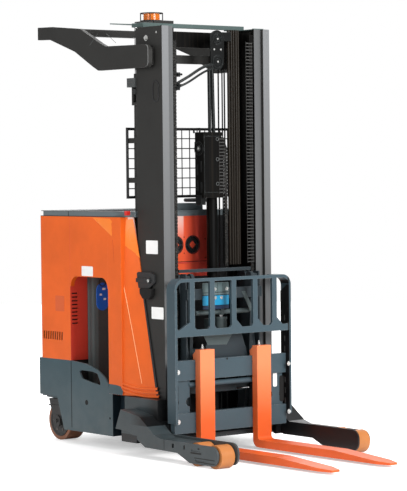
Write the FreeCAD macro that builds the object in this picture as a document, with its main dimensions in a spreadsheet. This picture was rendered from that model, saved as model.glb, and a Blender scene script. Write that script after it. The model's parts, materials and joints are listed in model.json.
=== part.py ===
import FreeCAD, Part
import os
import re
import Sketcher
from FreeCAD import Placement, Rotation, Vector

# A stand-up reach truck: a chassis on two outrigger legs, a three-stage mast behind the legs,
# and a pair of forks carried out over the legs by a pantograph.
# Millimetres. +X points to the fork tips, +Y to the operator's left, +Z up; the floor is Z 0.

SIZES = {
    # where the mast's front face stands, and the clearances that repeat
    "mast_face": -32,
    "seat_gap": 0.3,
    "run_gap": 6,
    "pin_gap": 0.1,
    # chassis shell
    "body_length": 1150,
    "body_half": 457,
    "skirt_wall": 12,
    "skirt_bottom": 78,
    "skirt_top": 490,
    "skirt_front": 412,
    "skirt_arch_top": 270,
    "skirt_arch_front": 970,
    "skirt_arch_foot": 902,
    "deck_bottom": 262,
    "deck_thick": 12,
    "beam_half": 300,
    "beam_end": 297,
    "beam_top": 320,
    "shell_wall": 6,
    "shell_top": 1335,
    "corner_round": 42,
    # operator compartment
    "bay_rear": 822,
    "bay_front": 446,
    "window_top": 986,
    "window_bottom": 378,
    "window_round": 60,
    "vent_inset": 44,
    "vent_pitch": 23,
    "vent_width": 14,
    "vent_low": 604,
    "vent_high": 653,
    "louvre_low": 703,
    "louvre_pitch": 22,
    "louvre_slot": 8,
    "louvre_edge": 10,
    "louvre_width": 44,
    "side_panel_thick": 26,
    "mat_thick": 10,
    "pad_half": 355,
    "pad_thick": 60,
    "pad_bottom": 300,
    "pad_top": 1180,
    "pad_round": 60,
    # front housing
    "nose_front": 262,
    "nose_half": 306,
    "nose_shoulder": 318,
    "nose_bottom": 322,
    "wing_crease_top": 399,
    "wing_crease_foot": 353,
    "wing_tip_top": 277,
    "wing_tip_foot": 58,
    "wing_thick": 8,
    "fan_radius": 50,
    "fan_drop": 167,
    "fan_near": -104,
    "fan_far": 18,
    "fan_hub": 17,
    "fan_ring": 33,
    "fan_spoke": 6,
    # top cover and console
    "cover_thick": 33,
    "cover_rear": 1126,
    "cover_inset": 4,
    "cover_rail": 60,
    "hood_height": 40,
    "hood_half": 150,
    "hood_centre": -30,
    "hood_round": 22,
    # battery and drive
    "battery_half": 250,
    "battery_centre": -186,
    "battery_height": 760,
    # drive unit at the left rear
    "drive_inset": 170,
    "drive_side": 240,
    "drive_radius": 165,
    "drive_width": 120,
    "drive_axle": 22,
    "drive_plate": 397,
    "drive_hole": 152,
    "ring_radius": 110,
    "motor_radius": 95,
    "motor_height": 260,
    # caster at the right rear
    "caster_inset": 86,
    "caster_side": 345,
    "caster_trail": 34,
    "caster_radius": 115,
    "caster_width": 104,
    "caster_axle": 12,
    "caster_cheek": 10,
    "caster_plate": 12,
    "caster_half": 72,
    "caster_ring": 60,
    # outrigger legs
    "leg_outer": 552,
    "leg_inner": 430,
    "leg_wall": 10,
    "leg_top": 122,
    "leg_low": 60,
    "leg_foot": 15,
    "leg_tip": 660,
    "leg_inner_tip": 694,
    "leg_start": 49,
    "leg_bend": 305,
    "leg_flat": 416,
    "root_rear": 260,
    "root_top": 257,
    "root_crown": 210,
    "root_heel": 145,
    "root_knee": 73,
    "root_knee_low": 110,
    "root_knee_end": 15,
    "root_mid_top": 186,
    "root_front_top": 229,
    "root_front": 33,
    "root_end": 97,
    "root_inner_end": 30,
    "block_rear": 297,
    "block_top": 318,
    "stop_rear": 224,
    "stop_front": 82,
    "stop_low": 75,
    "stop_width": 62,
    "hole_rear": 259,
    "hole_front": 362,
    "hole_size": 18,
    "hole_height": 84,
    "groove_rear": 430,
    "groove_length": 86,
    "groove_depth": 4,
    # load wheels
    "load_front": 612,
    "load_rear": 455,
    "load_radius": 64,
    "load_width": 90,
    "load_axle": 14,
    # mast stages
    "mast_depth": 242,
    "mast_half": 391,
    "mast_top": 2407,
    "mast_bottom": 70,
    "outer_web": 16,
    "outer_width": 46,
    "outer_flange": 18,
    "middle_width": 72,
    "middle_web": 12,
    "middle_flange": 16,
    "middle_top": 2412,
    "middle_tie": 23,
    "inner_width": 44,
    "inner_web": 12,
    "inner_flange": 14,
    "inner_top": 2390,
    "pad_length": 60,
    "tie_thick": 12,
    "tie_head_low": 2350,
    "tie_head_high": 2392,
    "tie_second_low": 2210,
    "tie_second_high": 2260,
    "tie_waist_low": 880,
    "tie_waist_high": 940,
    "tie_foot_high": 300,
    "handle_low": 1970,
    "handle_high": 2113,
    "handle_bar": 9,
    "handle_reach": 42,
    # lift cylinders beside the mast
    "cylinder_back": 285,
    "cylinder_side": 345,
    "cylinder_radius": 25,
    "cylinder_top": 2150,
    "rod_radius": 19,
    "rod_low": 400,
    # free-lift cylinder in the middle
    "free_back": 105,
    "free_radius": 30,
    "free_side": 36,
    "free_top": 1560,
    "free_rod": 20,
    "free_rod_low": 700,
    "foot_plate": 14,
    "head_low": 1700,
    "head_high": 1760,
    "head_half": 110,
    "sheave_radius": 47,
    "sheave_width": 24,
    "sheave_side": 86,
    "head_plate_low": 1440,
    "head_plate_high": 1815,
    "head_plate_left": 80,
    "head_plate_right": -65,
    "head_plate_depth": 12,
    "head_reach": 46,
    "chain_thick": 12,
    "chain_width": 20,
    "main_chain_in": 268,
    "main_chain_back": 42,
    "chain_anchor": 44,
    "chain_anchor_low": 2330,
    "hose_side": 130,
    "hose_width": 35,
    "hose_plate": 6,
    "hose_back": 113,
    "hose_wheel": 44,
    "hose_low": 2175,
    "hose_high": 2385,
    "hose_axle_low": 2228,
    "hose_axle_high": 2332,
    # reach mechanism
    "pivot_back": 75,
    "pivot_height": 990,
    "arm_length": 850,
    "arm_rest": 6,
    "arm_end": 26,
    "arm_waist": 45,
    "arm_thick": 20,
    "arm_a_in": 236,
    "arm_b_in": 208,
    "pin_radius": 14,
    "shaft_radius": 20,
    "roller_radius": 18,
    "roller_play": 0.5,
    "track_wall": 6,
    "track_low": 125,
    "track_high": 520,
    "cheek_in": 262,
    "cheek_thick": 9,
    "carriage_rear": 150,
    "carriage_front": 48,
    "carriage_low": 92,
    "carriage_bar": 14,
    "carriage_bar_back": 42,
    "carriage_tab": 8,
    "carriage_top": 1020,
    "carriage_head": 18,
    "frame_low": 85,
    "guide_low": 200,
    "guide_high": 900,
    "frame_waist_low": 440,
    "frame_waist_high": 520,
    "frame_head_low": 870,
    "frame_head_high": 930,
    "frame_plate_high": 690,
    "frame_plate_top": 110,
    "frame_plate_foot": 170,
    "frame_bar": 9,
    # fork carriage
    "tilt_forward": 44,
    "tilt_height": 482,
    "tilt_lug": 17,
    "tilt_pin": 11,
    "tilt_cheek_in": 276,
    "tilt_cheek": 10,
    "bar_back": 66,
    "bar_front": 103,
    "bar_half": 408,
    "bar_top_low": 426,
    "bar_top_high": 537,
    "bar_foot_low": 130,
    "bar_foot_high": 242,
    "side_plate_in": 290,
    "side_plate_back": 73,
    "side_plate_front": 88,
    "cross_tube": 15,
    "cross_tube_height": 398,
    "cheek_notch": 26,
    "lug_half": 22,
    # load backrest
    "rest_front": 135,
    "rest_post": 75,
    "rest_thick": 16,
    "rest_top": 995,
    "rest_bottom": 190,
    "rest_bar": 34,
    "rest_lip": 18,
    "rest_edge": 12,
    "rest_corner": 100,
    "rest_band_low": 672,
    "rest_band_high": 709,
    "rest_bar_near": 157,
    "rest_bar_far": 300,
    "rest_chamfer": 14,
    "rest_flare": 42,
    "rest_sweep": 80,
    "rest_round": 60,
    # forks
    "fork_centre": 207,
    "fork_width": 102,
    "fork_thick": 44,
    "fork_blade": 1067,
    "fork_bottom": 14,
    "fork_top": 595,
    "fork_tip_thick": 12,
    "fork_taper": 420,
    "fork_heel": 22,
    "fork_point": 90,
    "fork_point_in": 26,
    "fork_hook": 22,
    # overhead guard
    "guard_in": 414,
    "guard_thick": 26,
    "guard_rear": 1150,
    "guard_tail_low": 2382,
    "guard_tail_front": 1026,
    "guard_belly": 771,
    "guard_belly_low": 2295,
    "guard_knee": 592,
    "guard_knee_low": 2200,
    "guard_foot_back": 540,
    "guard_neck": 470,
    "guard_shoulder": 521,
    "guard_brow": 718,
    "guard_brow_top": 2426,
    "guard_crown": 994,
    "guard_crown_top": 2452,
    "guard_bar_second": 960,
    "guard_second_top": 2444,
    "guard_bar_third": 800,
    "guard_third_top": 2430,
    "guard_top": 2456,
    "guard_arm_top": 2304,
    "guard_arm_low": 2176,
    "guard_arm_front": 62,
    "guard_bar": 40,
    # beacon and wire screen
    "beacon_back": 370,
    "beacon_side": -180,
    "beacon_radius": 47,
    "beacon_height": 45,
    "cage_radius": 64,
    "cage_height": 50,
    "shelf_half": 70,
    "wire_radius": 3,
    "screen_back": 330,
    "screen_half": 402,
    "screen_low": 1440,
    "screen_high": 1845,
    "screen_frame": 8,
    "screen_pitch": 57,
    # steering tiller
    "tiller_back": 420,
    "tiller_side": 200,
    "tiller_radius": 95,
    "tiller_rim": 11,
    "tiller_rise": 60,
    "tiller_post": 14,
    "tiller_knob": 17,
    "tiller_knob_height": 42,
}

doc = FreeCAD.newDocument("ReachTruck")
sheet = doc.addObject("Spreadsheet::Sheet", "Sizes")
for row, (name, amount) in enumerate(SIZES.items(), start=1):
    sheet.set("A%d" % row, name)
    sheet.set("B%d" % row, str(amount))
    sheet.setAlias("B%d" % row, name)
doc.recompute()
ALIAS = re.compile(r"\b(" + "|".join(sorted(SIZES, key=len, reverse=True)) + r")\b")
nodes = {}


def full(text):
    """An expression as FreeCAD wants it, each size named through the sheet."""
    return ALIAS.sub(r"Sizes.\1", str(text))


def value(text):
    """The number that an expression has now."""
    amount = sheet.evalExpression(str(text))
    return float(getattr(amount, "Value", amount))


def bind(thing, prop, text):
    thing.setExpression(prop, full(text))


def place(thing, x="0", y="0", z="0"):
    bind(thing, "Placement.Base.x", x)
    bind(thing, "Placement.Base.y", y)
    bind(thing, "Placement.Base.z", z)


def behind(text):
    """A place measured back from the mast's front face."""
    return "(mast_face - (%s))" % text


def ahead(text):
    """A place measured forward of the mast's front face."""
    return "(mast_face + (%s))" % text


def block(name, x, y, z):
    """A box between the given pairs of faces."""
    box = doc.addObject("Part::Box", name)
    bind(box, "Length", "(%s) - (%s)" % (x[1], x[0]))
    bind(box, "Width", "(%s) - (%s)" % (y[1], y[0]))
    bind(box, "Height", "(%s) - (%s)" % (z[1], z[0]))
    place(box, x[0], y[0], z[0])
    return box


TURNS = {"x": Rotation(Vector(0, 1, 0), 90), "y": Rotation(Vector(1, 0, 0), -90), "z": Rotation()}


def drum(name, axis, radius, span, centre):
    """A cylinder along an axis, from span[0] to span[1], round the other two coordinates."""
    barrel = doc.addObject("Part::Cylinder", name)
    barrel.Placement = Placement(Vector(), TURNS[axis])
    bind(barrel, "Radius", radius)
    bind(barrel, "Height", "(%s) - (%s)" % (span[1], span[0]))
    spot = list(centre)
    spot.insert("xyz".index(axis), span[0])
    place(barrel, *spot)
    return barrel


PLANES = {"xz": ("XZ_Plane", "y", True), "yz": ("YZ_Plane", "x", False), "xy": ("XY_Plane", "z", False)}


def sketch_on(body, role, corners, name):
    """A closed sketch of straight sides, each corner held by two dimensions."""
    sketch = body.newObject("Sketcher::SketchObject", name)
    plane = [item for item in body.Origin.OriginFeatures if item.Role == role][0]
    sketch.AttachmentSupport = [(plane, "")]
    sketch.MapMode = "FlatFace"
    spots = [Vector(value(across), value(up), 0) for across, up in corners]
    for here, there in zip(spots, spots[1:] + spots[:1]):
        sketch.addGeometry(Part.LineSegment(here, there))
    for index in range(len(spots)):
        sketch.addConstraint(Sketcher.Constraint("Coincident", index, 2, (index + 1) % len(spots), 1))
    for index, corner in enumerate(corners):
        for kind, text, amount in zip("XY", corner, spots[index]):
            number = sketch.addConstraint(Sketcher.Constraint("Distance" + kind, index, 1, amount))
            label = "corner%d%s" % (index, kind)
            sketch.renameConstraint(number, label)
            sketch.setExpression("Constraints." + label, full(text))
    return sketch


def plate(name, plane, span, corners, rounds=()):
    """A padded outline: corners are pairs of expressions, rounds are (corner number, radius)."""
    role, letter, flipped = PLANES[plane]
    body = doc.addObject("PartDesign::Body", name)
    sketch = sketch_on(body, role, corners, name + "_outline")
    pad = body.newObject("PartDesign::Pad", name + "_pad")
    pad.Profile = sketch
    pad.Reversed = flipped
    bind(pad, "Length", "(%s) - (%s)" % (span[1], span[0]))
    bind(body, "Placement.Base." + letter, span[0])
    sketch.Visibility = False
    if rounds:
        doc.recompute()
    last = pad
    for index, radius in rounds:
        spot = [value(text) for text in corners[index]]
        edges = []
        for number, edge in enumerate(last.Shape.Edges, start=1):
            middle = edge.CenterOfMass
            pair = {"xz": (middle.x, middle.z), "yz": (middle.y, middle.z), "xy": (middle.x, middle.y)}[plane]
            along = abs(edge.Length - abs(value("(%s) - (%s)" % (span[1], span[0])))) < 1e-6
            if along and abs(pair[0] - spot[0]) < 1e-6 and abs(pair[1] - spot[1]) < 1e-6:
                edges.append("Edge%d" % number)
        fillet = body.newObject("PartDesign::Fillet", "%s_round%d" % (name, index))
        fillet.Base = (last, edges)
        bind(fillet, "Radius", radius)
        doc.recompute()
        last = fillet
    return body


def cut(name, base, tools):
    """The base less its tools."""
    result = doc.addObject("Part::Cut", name)
    result.Base = base
    result.Tool = tools[0] if len(tools) == 1 else fuse(name + "_tools", tools)
    return result


def fuse(name, parts):
    """Parts that touch, joined one after another into one solid."""
    whole = parts[0]
    for index, part in enumerate(parts[1:], start=1):
        step = doc.addObject("Part::Fuse", name if index == len(parts) - 1 else "%s_join%d" % (name, index))
        step.Base = whole
        step.Tool = part
        step.Refine = index == len(parts) - 1
        whole = step
    return whole


def weld(name, parts):
    """Many crossing wires joined at once into one solid."""
    result = doc.addObject("Part::MultiFuse", name)
    result.Shapes = parts
    return result


def group(name, parts):
    """Like pieces that don't touch, kept as separate solids of one node."""
    result = doc.addObject("Part::Compound", name)
    result.Links = parts
    return result


def mirrored(name, source):
    """The same piece on the other side of the truck."""
    result = doc.addObject("Part::Mirroring", name)
    result.Source = source
    result.Normal = Vector(0, 1, 0)
    return result


def pair(name, source):
    """A piece and its mirror image in one node."""
    return group(name, [source, mirrored(name + "_twin", source)])


def node(name, thing):
    thing.Label = name
    nodes[name] = thing
    return thing


REAR = behind("body_length")


def chassis_frame():
    """Skirt walls, deck, front beams and the plates that carry the drive unit and the caster."""
    side = plate("skirt_side", "xz", ("body_half - skirt_wall", "body_half"), [
        (REAR, "skirt_arch_top"),
        (behind("skirt_arch_front"), "skirt_arch_top"),
        (behind("skirt_arch_foot"), "skirt_bottom"),
        (behind("skirt_front"), "skirt_bottom"),
        (behind("skirt_front"), "nose_bottom - seat_gap"),
        (behind("bay_front + seat_gap"), "nose_bottom - seat_gap"),
        (behind("bay_front + 10"), "window_bottom"),
        (behind("bay_front + 46"), "window_bottom + 34"),
        (behind("bay_front + 121"), "window_bottom + 74"),
        (behind("bay_front + 222"), "window_bottom + 100"),
        (behind("bay_rear"), "skirt_top"),
        (REAR, "skirt_top"),
    ])
    slot = plate("skirt_slot", "xz", ("body_half - 2 * skirt_wall", "body_half + skirt_wall"), [
        (behind("bay_front + 268"), "skirt_top - 100"),
        (behind("bay_front + 188"), "skirt_top - 114"),
        (behind("bay_front + 85"), "skirt_top - 127"),
        (behind("bay_front + 89"), "skirt_top - 103"),
        (behind("bay_front + 113"), "skirt_top - 62"),
        (behind("bay_front + 162"), "skirt_top - 51"),
        (behind("bay_front + 282"), "skirt_top - 50"),
        (behind("bay_front + 293"), "skirt_top - 63"),
    ])
    wall = "body_half - skirt_wall"
    parts = [
        cut("skirt_right", mirrored("skirt_mirror", side), [mirrored("slot_mirror", slot)]),
        side,
        block("skirt_rear", (REAR, REAR + " + skirt_wall"), ("-(%s)" % wall, wall),
              ("skirt_arch_top", "skirt_top")),
        block("skirt_cross", (behind("skirt_front + skirt_wall"), behind("skirt_front")),
              ("-(%s)" % wall, wall), ("skirt_bottom", "beam_top")),
        block("deck", (REAR + " + skirt_wall", behind("skirt_front")), ("-(%s)" % wall, wall),
              ("deck_bottom", "deck_bottom + deck_thick")),
        block("drive_shelf", (REAR + " + skirt_wall", behind("bay_rear")),
              ("drive_side - drive_radius - run_gap", wall),
              ("drive_plate - deck_thick", "drive_plate")),
        block("caster_pad", (behind("body_length - caster_inset + caster_half"),
                             behind("body_length - caster_inset - caster_half")),
              ("-caster_side - caster_half", "-caster_side + caster_half"),
              ("deck_bottom - caster_plate", "deck_bottom")),
    ]
    for sign in ("", "-"):
        inner = "%s(beam_half)" % sign
        outer = "%s(beam_half + 100)" % sign
        low, high = (inner, outer) if sign == "" else (outer, inner)
        parts.append(block("front_beam" + ("_left" if sign == "" else "_right"),
                           (behind("skirt_front"), behind("block_rear")), (low, high),
                           ("skirt_bottom", "beam_top")))
    whole = fuse("chassis_whole", parts)
    wheel_well = drum("drive_well", "z", "drive_hole", ("deck_bottom - 5", "deck_bottom + deck_thick + 5"),
                      (behind("body_length - drive_inset"), "drive_side"))
    bearing_seat = drum("drive_bore", "z", "ring_radius + run_gap",
                        ("drive_plate - 2 * deck_thick", "drive_plate + 5"),
                        (behind("body_length - drive_inset"), "drive_side"))
    node("chassis_frame", cut("chassis_cut", whole, [wheel_well, bearing_seat]))
    node("deck_mat", block("deck_mat_slab", (behind("bay_rear"), behind("bay_front")),
                           ("-(%s) + seat_gap" % wall, "%s - seat_gap" % wall),
                           ("deck_bottom + deck_thick", "deck_bottom + deck_thick + mat_thick")))


def vent_slots(name, count, first_x, pitch, width, y_span, z_span, lean="0"):
    """A row of slots cut through a wall."""
    slots = []
    for index in range(count):
        left = "%s + %d * (%s)" % (first_x, index, pitch)
        slots.append(plate("%s_%d" % (name, index), "xz", y_span, [
            (left, z_span[0]),
            ("%s + %s" % (left, width), z_span[0]),
            ("%s + %s + %s" % (left, width, lean), z_span[1]),
            ("%s + %s" % (left, lean), z_span[1]),
        ]))
    return slots


def rear_housing():
    """The hollow housing behind the operator, vented low on its right side and louvred in its front posts."""
    outline = [
        (REAR, "-body_half"),
        (behind("bay_rear"), "-body_half"),
        (behind("bay_rear"), "body_half"),
        (REAR, "body_half"),
    ]
    hollow = [
        (REAR + " + shell_wall", "-body_half + shell_wall"),
        (behind("bay_rear + shell_wall"), "-body_half + shell_wall"),
        (behind("bay_rear + shell_wall"), "body_half - shell_wall"),
        (REAR + " + shell_wall", "body_half - shell_wall"),
    ]
    skin = plate("rear_skin", "xy", ("skirt_top + seat_gap", "shell_top"), outline,
                 [(0, "corner_round"), (3, "corner_round")])
    space = plate("rear_space", "xy", ("skirt_top - 5", "shell_top + 5"), hollow,
                  [(0, "corner_round - shell_wall"), (3, "corner_round - shell_wall")])
    tools = [space]
    tools += vent_slots("rear_vent", 9, REAR + " + vent_inset", "vent_pitch", "vent_width",
                        ("-body_half - 5", "-body_half + 2 * shell_wall"), ("vent_low", "vent_high"),
                        "vent_width / 4")
    for index in range(9):
        low = "louvre_low + %d * louvre_pitch" % index
        tools.append(block("louvre_%d" % index, (behind("bay_rear + 2 * shell_wall"), behind("bay_rear - 5")),
                           ("-body_half + louvre_edge", "-body_half + louvre_edge + louvre_width"),
                           (low, low + " + louvre_slot")))
    node("rear_housing", cut("rear_housing_cut", skin, tools))
    node("battery", block("battery_block", (REAR + " + shell_wall + 3 * run_gap",
                                            behind("bay_rear + shell_wall + run_gap")),
                          ("battery_centre - battery_half", "battery_centre + battery_half"),
                          ("deck_bottom + deck_thick", "deck_bottom + deck_thick + battery_height")))


def backrest_pad():
    """The padded back support on the rear housing."""
    front = behind("bay_rear - pad_thick")
    node("backrest_pad", plate("backrest_slab", "yz", (behind("bay_rear") + " + seat_gap", front), [
        ("-pad_half", "pad_bottom"),
        ("pad_half", "pad_bottom"),
        ("pad_half", "pad_top"),
        ("-pad_half", "pad_top"),
    ], [(2, "pad_round"), (3, "pad_round")]))


def side_panel():
    """The panel over the window in the right side, between the two housings."""
    span = ("-body_half", "-body_half + side_panel_thick")
    panel = block("side_slab", (behind("bay_rear") + " + seat_gap", behind("bay_front") + " - seat_gap"),
                  span,
                  ("window_top - window_round", "shell_top"))
    window = plate("side_window", "xz", ("-body_half - 5", "-body_half + side_panel_thick + 5"), [
        (behind("bay_rear - 5"), "skirt_top"),
        (behind("bay_front + 5"), "skirt_top"),
        (behind("bay_front + 5"), "window_top"),
        (behind("bay_rear - 5"), "window_top"),
    ], [(2, "window_round"), (3, "window_round")])
    node("side_panel", cut("side_panel_cut", panel, [window]))


def wing(name, sign):
    """A side skin that runs from the housing's crease in to the mast column, wider at its foot."""
    body = doc.addObject("PartDesign::Body", name)
    sections = []
    for level, crease, tip in (
        ("nose_bottom", "wing_crease_foot", "wing_tip_foot"),
        ("shell_top", "wing_crease_top", "wing_tip_top"),
    ):
        near = "%s(mast_half + seat_gap)" % sign
        corners = [
            (behind("bay_front - shell_wall"), "%sbody_half" % sign),
            (behind(crease), "%sbody_half" % sign),
            (behind(tip), "%s(mast_half + run_gap)" % sign),
            (behind(tip), near),
            (behind("(%s) + wing_thick" % tip), near),
            (behind(crease), "%s(body_half - wing_thick)" % sign),
            (behind("bay_front - shell_wall"), "%s(body_half - wing_thick)" % sign),
        ]
        sketch = sketch_on(body, "XY_Plane", corners, name + "_" + level)
        sketch.setExpression("AttachmentOffset.Base.z", full(level))
        sections.append(sketch)
    loft = body.newObject("PartDesign::AdditiveLoft", name + "_loft")
    loft.Profile = sections[0]
    loft.Sections = [sections[1]]
    loft.Ruled = True
    return body


def front_housing():
    """The housing between operator and mast, hollow, with two fans in the panel that faces the mast."""
    outline = [
        (behind("bay_front"), "-body_half"),
        (behind("nose_shoulder"), "-body_half"),
        (behind("nose_shoulder"), "-nose_half"),
        (behind("nose_front"), "-nose_half"),
        (behind("nose_front"), "nose_half"),
        (behind("nose_shoulder"), "nose_half"),
        (behind("nose_shoulder"), "body_half"),
        (behind("bay_front"), "body_half"),
    ]
    wall = "shell_wall"
    hollow = [
        (behind("bay_front - %s" % wall), "-body_half + %s" % wall),
        (behind("nose_shoulder + %s" % wall), "-body_half + %s" % wall),
        (behind("nose_shoulder + %s" % wall), "-nose_half + %s" % wall),
        (behind("nose_front + %s" % wall), "-nose_half + %s" % wall),
        (behind("nose_front + %s" % wall), "nose_half - %s" % wall),
        (behind("nose_shoulder + %s" % wall), "nose_half - %s" % wall),
        (behind("nose_shoulder + %s" % wall), "body_half - %s" % wall),
        (behind("bay_front - %s" % wall), "body_half - %s" % wall),
    ]
    skin = plate("front_skin", "xy", ("nose_bottom", "shell_top"), outline)
    space = plate("front_space", "xy", ("nose_bottom - 5", "shell_top + 5"), hollow)
    tools = [space]
    for label, side in (("near", "fan_near"), ("far", "fan_far")):
        tools.append(drum("fan_hole_" + label, "x", "fan_radius",
                          (behind("nose_front + 4 * shell_wall"), behind("nose_front - 5")),
                          (side, "shell_top - fan_drop")))
    shell = cut("front_shell", skin, tools)
    depth = (behind("nose_front + %s" % wall), behind("nose_front"))
    guards = []
    for label, side in (("near", "fan_near"), ("far", "fan_far")):
        spot = (side, "shell_top - fan_drop")
        inner = drum("fan_ring_in_" + label, "x", "fan_ring - fan_spoke",
                     (depth[0] + " - 5", depth[1] + " + 5"), spot)
        guards.append(cut("fan_ring_" + label, drum("fan_ring_out_" + label, "x", "fan_ring", depth, spot),
                          [inner]))
        guards.append(drum("fan_hub_" + label, "x", "fan_hub", depth, spot))
        across = (side + " - fan_radius - 2", side + " + fan_radius + 2")
        upright = (spot[1] + " - fan_radius - 2", spot[1] + " + fan_radius + 2")
        thin = "fan_spoke / 2"
        guards.append(block("fan_bar_" + label, depth, across,
                            (spot[1] + " - " + thin, spot[1] + " + " + thin)))
        guards.append(block("fan_post_" + label, depth, (side + " - " + thin, side + " + " + thin), upright))
    node("front_housing", fuse("front_housing_whole", [shell, wing("wing_right", "-"),
                                                       wing("wing_left", "")] + guards))


def top_cover():
    """The flat cover round the operator's opening, open on the left where the operator steps in."""
    low, high = "shell_top + seat_gap", "shell_top + cover_thick"
    edge = "body_half - cover_inset"
    rear = plate("cover_rear_slab", "xy", (low, high), [
        (behind("cover_rear"), "-(%s)" % edge),
        (behind("wing_crease_top"), "-(%s)" % edge),
        (behind("nose_front"), "-nose_half - 86"),
        (behind("nose_front"), "nose_half + 86"),
        (behind("wing_crease_top"), edge),
        (behind("cover_rear"), edge),
    ], [(0, "corner_round"), (5, "corner_round")])
    well = plate("cover_well", "xy", ("shell_top - 5", "shell_top + cover_thick + 5"), [
        (behind("bay_rear - 8"), "-body_half + cover_rail"),
        (behind("bay_front - 8"), "-body_half + cover_rail"),
        (behind("bay_front - 8"), "body_half + 5"),
        (behind("bay_rear - 8"), "body_half + 5"),
    ])
    notch = drum("cover_notch", "z", "cylinder_radius + run_gap",
                 ("shell_top - 5", "shell_top + cover_thick + 5"),
                 (behind("cylinder_back"), "cylinder_side"))
    slab = cut("cover_open", rear, [well, notch, mirrored("cover_notch_twin", notch)])
    node("top_cover", slab)
    hood = plate("hood_slab", "yz", (behind("bay_front - 14"), behind("nose_front + 30")), [
        ("hood_centre - hood_half", "shell_top + cover_thick + seat_gap"),
        ("hood_centre + hood_half", "shell_top + cover_thick + seat_gap"),
        ("hood_centre + hood_half", "shell_top + cover_thick + hood_height"),
        ("hood_centre - hood_half", "shell_top + cover_thick + hood_height"),
    ], [(2, "hood_round"), (3, "hood_round")])
    node("console_hood", hood)


def outrigger():
    """One leg in two pieces: a heavy root beside the mast, then side plates and a top plate to the wheels."""
    side_wall = "leg_outer - leg_wall"
    floor = "leg_low + 3"
    under_root = [
        (behind("root_rear"), "root_heel"),
        (behind("root_rear / 2"), "root_heel - 5"),
        (behind("root_knee"), "root_knee_low"),
        (ahead("root_knee_end"), floor),
    ]
    over_root = [
        (behind("root_front"), "root_front_top"),
        (behind("root_crown"), "root_top"),
    ]
    end_round = "(leg_top - leg_foot) / 2 - 2"
    outer = plate("leg_outer_plate", "xz", (side_wall, "leg_outer"), under_root + [
        (ahead("leg_bend"), "leg_low"),
        (ahead("leg_flat"), "leg_foot"),
        (ahead("leg_tip"), "leg_foot"),
        (ahead("leg_tip"), "leg_top"),
        (ahead("root_end + 60"), "leg_top"),
        (ahead("root_end"), "leg_top + 18"),
    ] + over_root, [(6, end_round), (7, end_round)])
    inner = plate("leg_inner_plate", "xz", ("leg_inner", "leg_inner + leg_wall"), [
        (ahead("leg_start"), "leg_low"),
        (ahead("leg_bend"), "leg_low"),
        (ahead("leg_flat"), "leg_foot"),
        (ahead("leg_inner_tip"), "leg_foot"),
        (ahead("leg_inner_tip"), "leg_top + 15"),
        (ahead("leg_start"), "leg_top + 15"),
    ], [(3, end_round), (4, end_round)])
    shoulder = plate("leg_shoulder", "xz", ("leg_inner", side_wall), [
        (ahead("root_inner_end"), floor),
        (ahead("leg_bend - 120"), floor),
        (ahead("root_end + 60"), "leg_top"),
        (ahead("root_end"), "leg_top + 18"),
        (ahead("root_inner_end"), "root_mid_top"),
    ])
    top = block("leg_top_plate", (ahead("root_end + 55"), ahead("load_rear - load_radius - run_gap")),
                ("leg_inner", "leg_outer"), ("leg_top - leg_wall", "leg_top"))
    parts = [outer, inner, shoulder, top]
    for label, spot in (("front", "load_front"), ("rear", "load_rear")):
        parts.append(drum("axle_" + label, "y", "load_axle", ("leg_inner", "leg_outer"),
                          (ahead(spot), "load_radius")))
    through = ("leg_outer - 2 * leg_wall", "leg_outer + 5")
    recess = ("leg_outer - groove_depth", "leg_outer + 5")
    holes = []
    for label, spot, wide in (("rear", "hole_rear", "hole_size"), ("front", "hole_front", "hole_size * 0.7")):
        holes.append(block("leg_hole_" + label, (ahead(spot), ahead("%s + %s" % (spot, wide))), through,
                           ("hole_height", "hole_height + hole_size * 1.3")))
    for label, start, low in (("high", "groove_rear", "load_radius + load_axle + run_gap / 2"),
                              ("low", "groove_rear + 36", "leg_foot + 16")):
        holes.append(block("leg_groove_" + label, (ahead(start), ahead(start + " + groove_length")), recess,
                           (low, low + " + 9")))
    left = cut("outrigger_left_whole", fuse("outrigger_left_solid", parts), holes)
    node("outrigger_left", left)
    node("outrigger_right", mirrored("outrigger_right_whole", left))

    end = ahead("root_inner_end") + " - seat_gap"
    casting = plate("leg_root", "xz", ("mast_half + seat_gap", side_wall + " - seat_gap"), under_root + [
        (end, floor),
        (end, "root_mid_top"),
    ] + over_root)
    saddle = block("leg_saddle", (behind("block_rear"), ahead("root_inner_end - 20")),
                   ("mast_half + seat_gap", "body_half"), ("root_front_top - 60", "block_top"))
    foot = block("leg_foot_block", (behind("block_rear"), behind("mast_depth + tie_thick + seat_gap")),
                 ("beam_half", "mast_half + seat_gap"), ("skirt_bottom", "beam_top"))
    stop = block("leg_stop", (behind("stop_rear"), behind("stop_front")),
                 (side_wall + " - stop_width", side_wall + " - run_gap"), ("stop_low", "root_heel"))
    root = fuse("leg_root_whole", [casting, saddle, foot, stop])
    node("leg_root_left", root)
    node("leg_root_right", mirrored("leg_root_twin", root))


def load_wheels():
    """Four load wheels in tandem pairs, each free on its own axle."""
    middle = "(leg_outer + leg_inner) / 2"
    for label, spot in (("front", "load_front"), ("rear", "load_rear")):
        centre = (ahead(spot), "load_radius")
        span = ("%s - load_width / 2" % middle, "%s + load_width / 2" % middle)
        tyre = drum("load_tyre_" + label, "y", "load_radius", span, centre)
        bore = drum("load_bore_" + label, "y", "load_axle + pin_gap", (span[0] + " - 5", span[1] + " + 5"),
                    centre)
        left = cut("load_left_" + label, tyre, [bore])
        node("load_wheel_%s_left" % label, left)
        node("load_wheel_%s_right" % label, mirrored("load_right_" + label, left))


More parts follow.
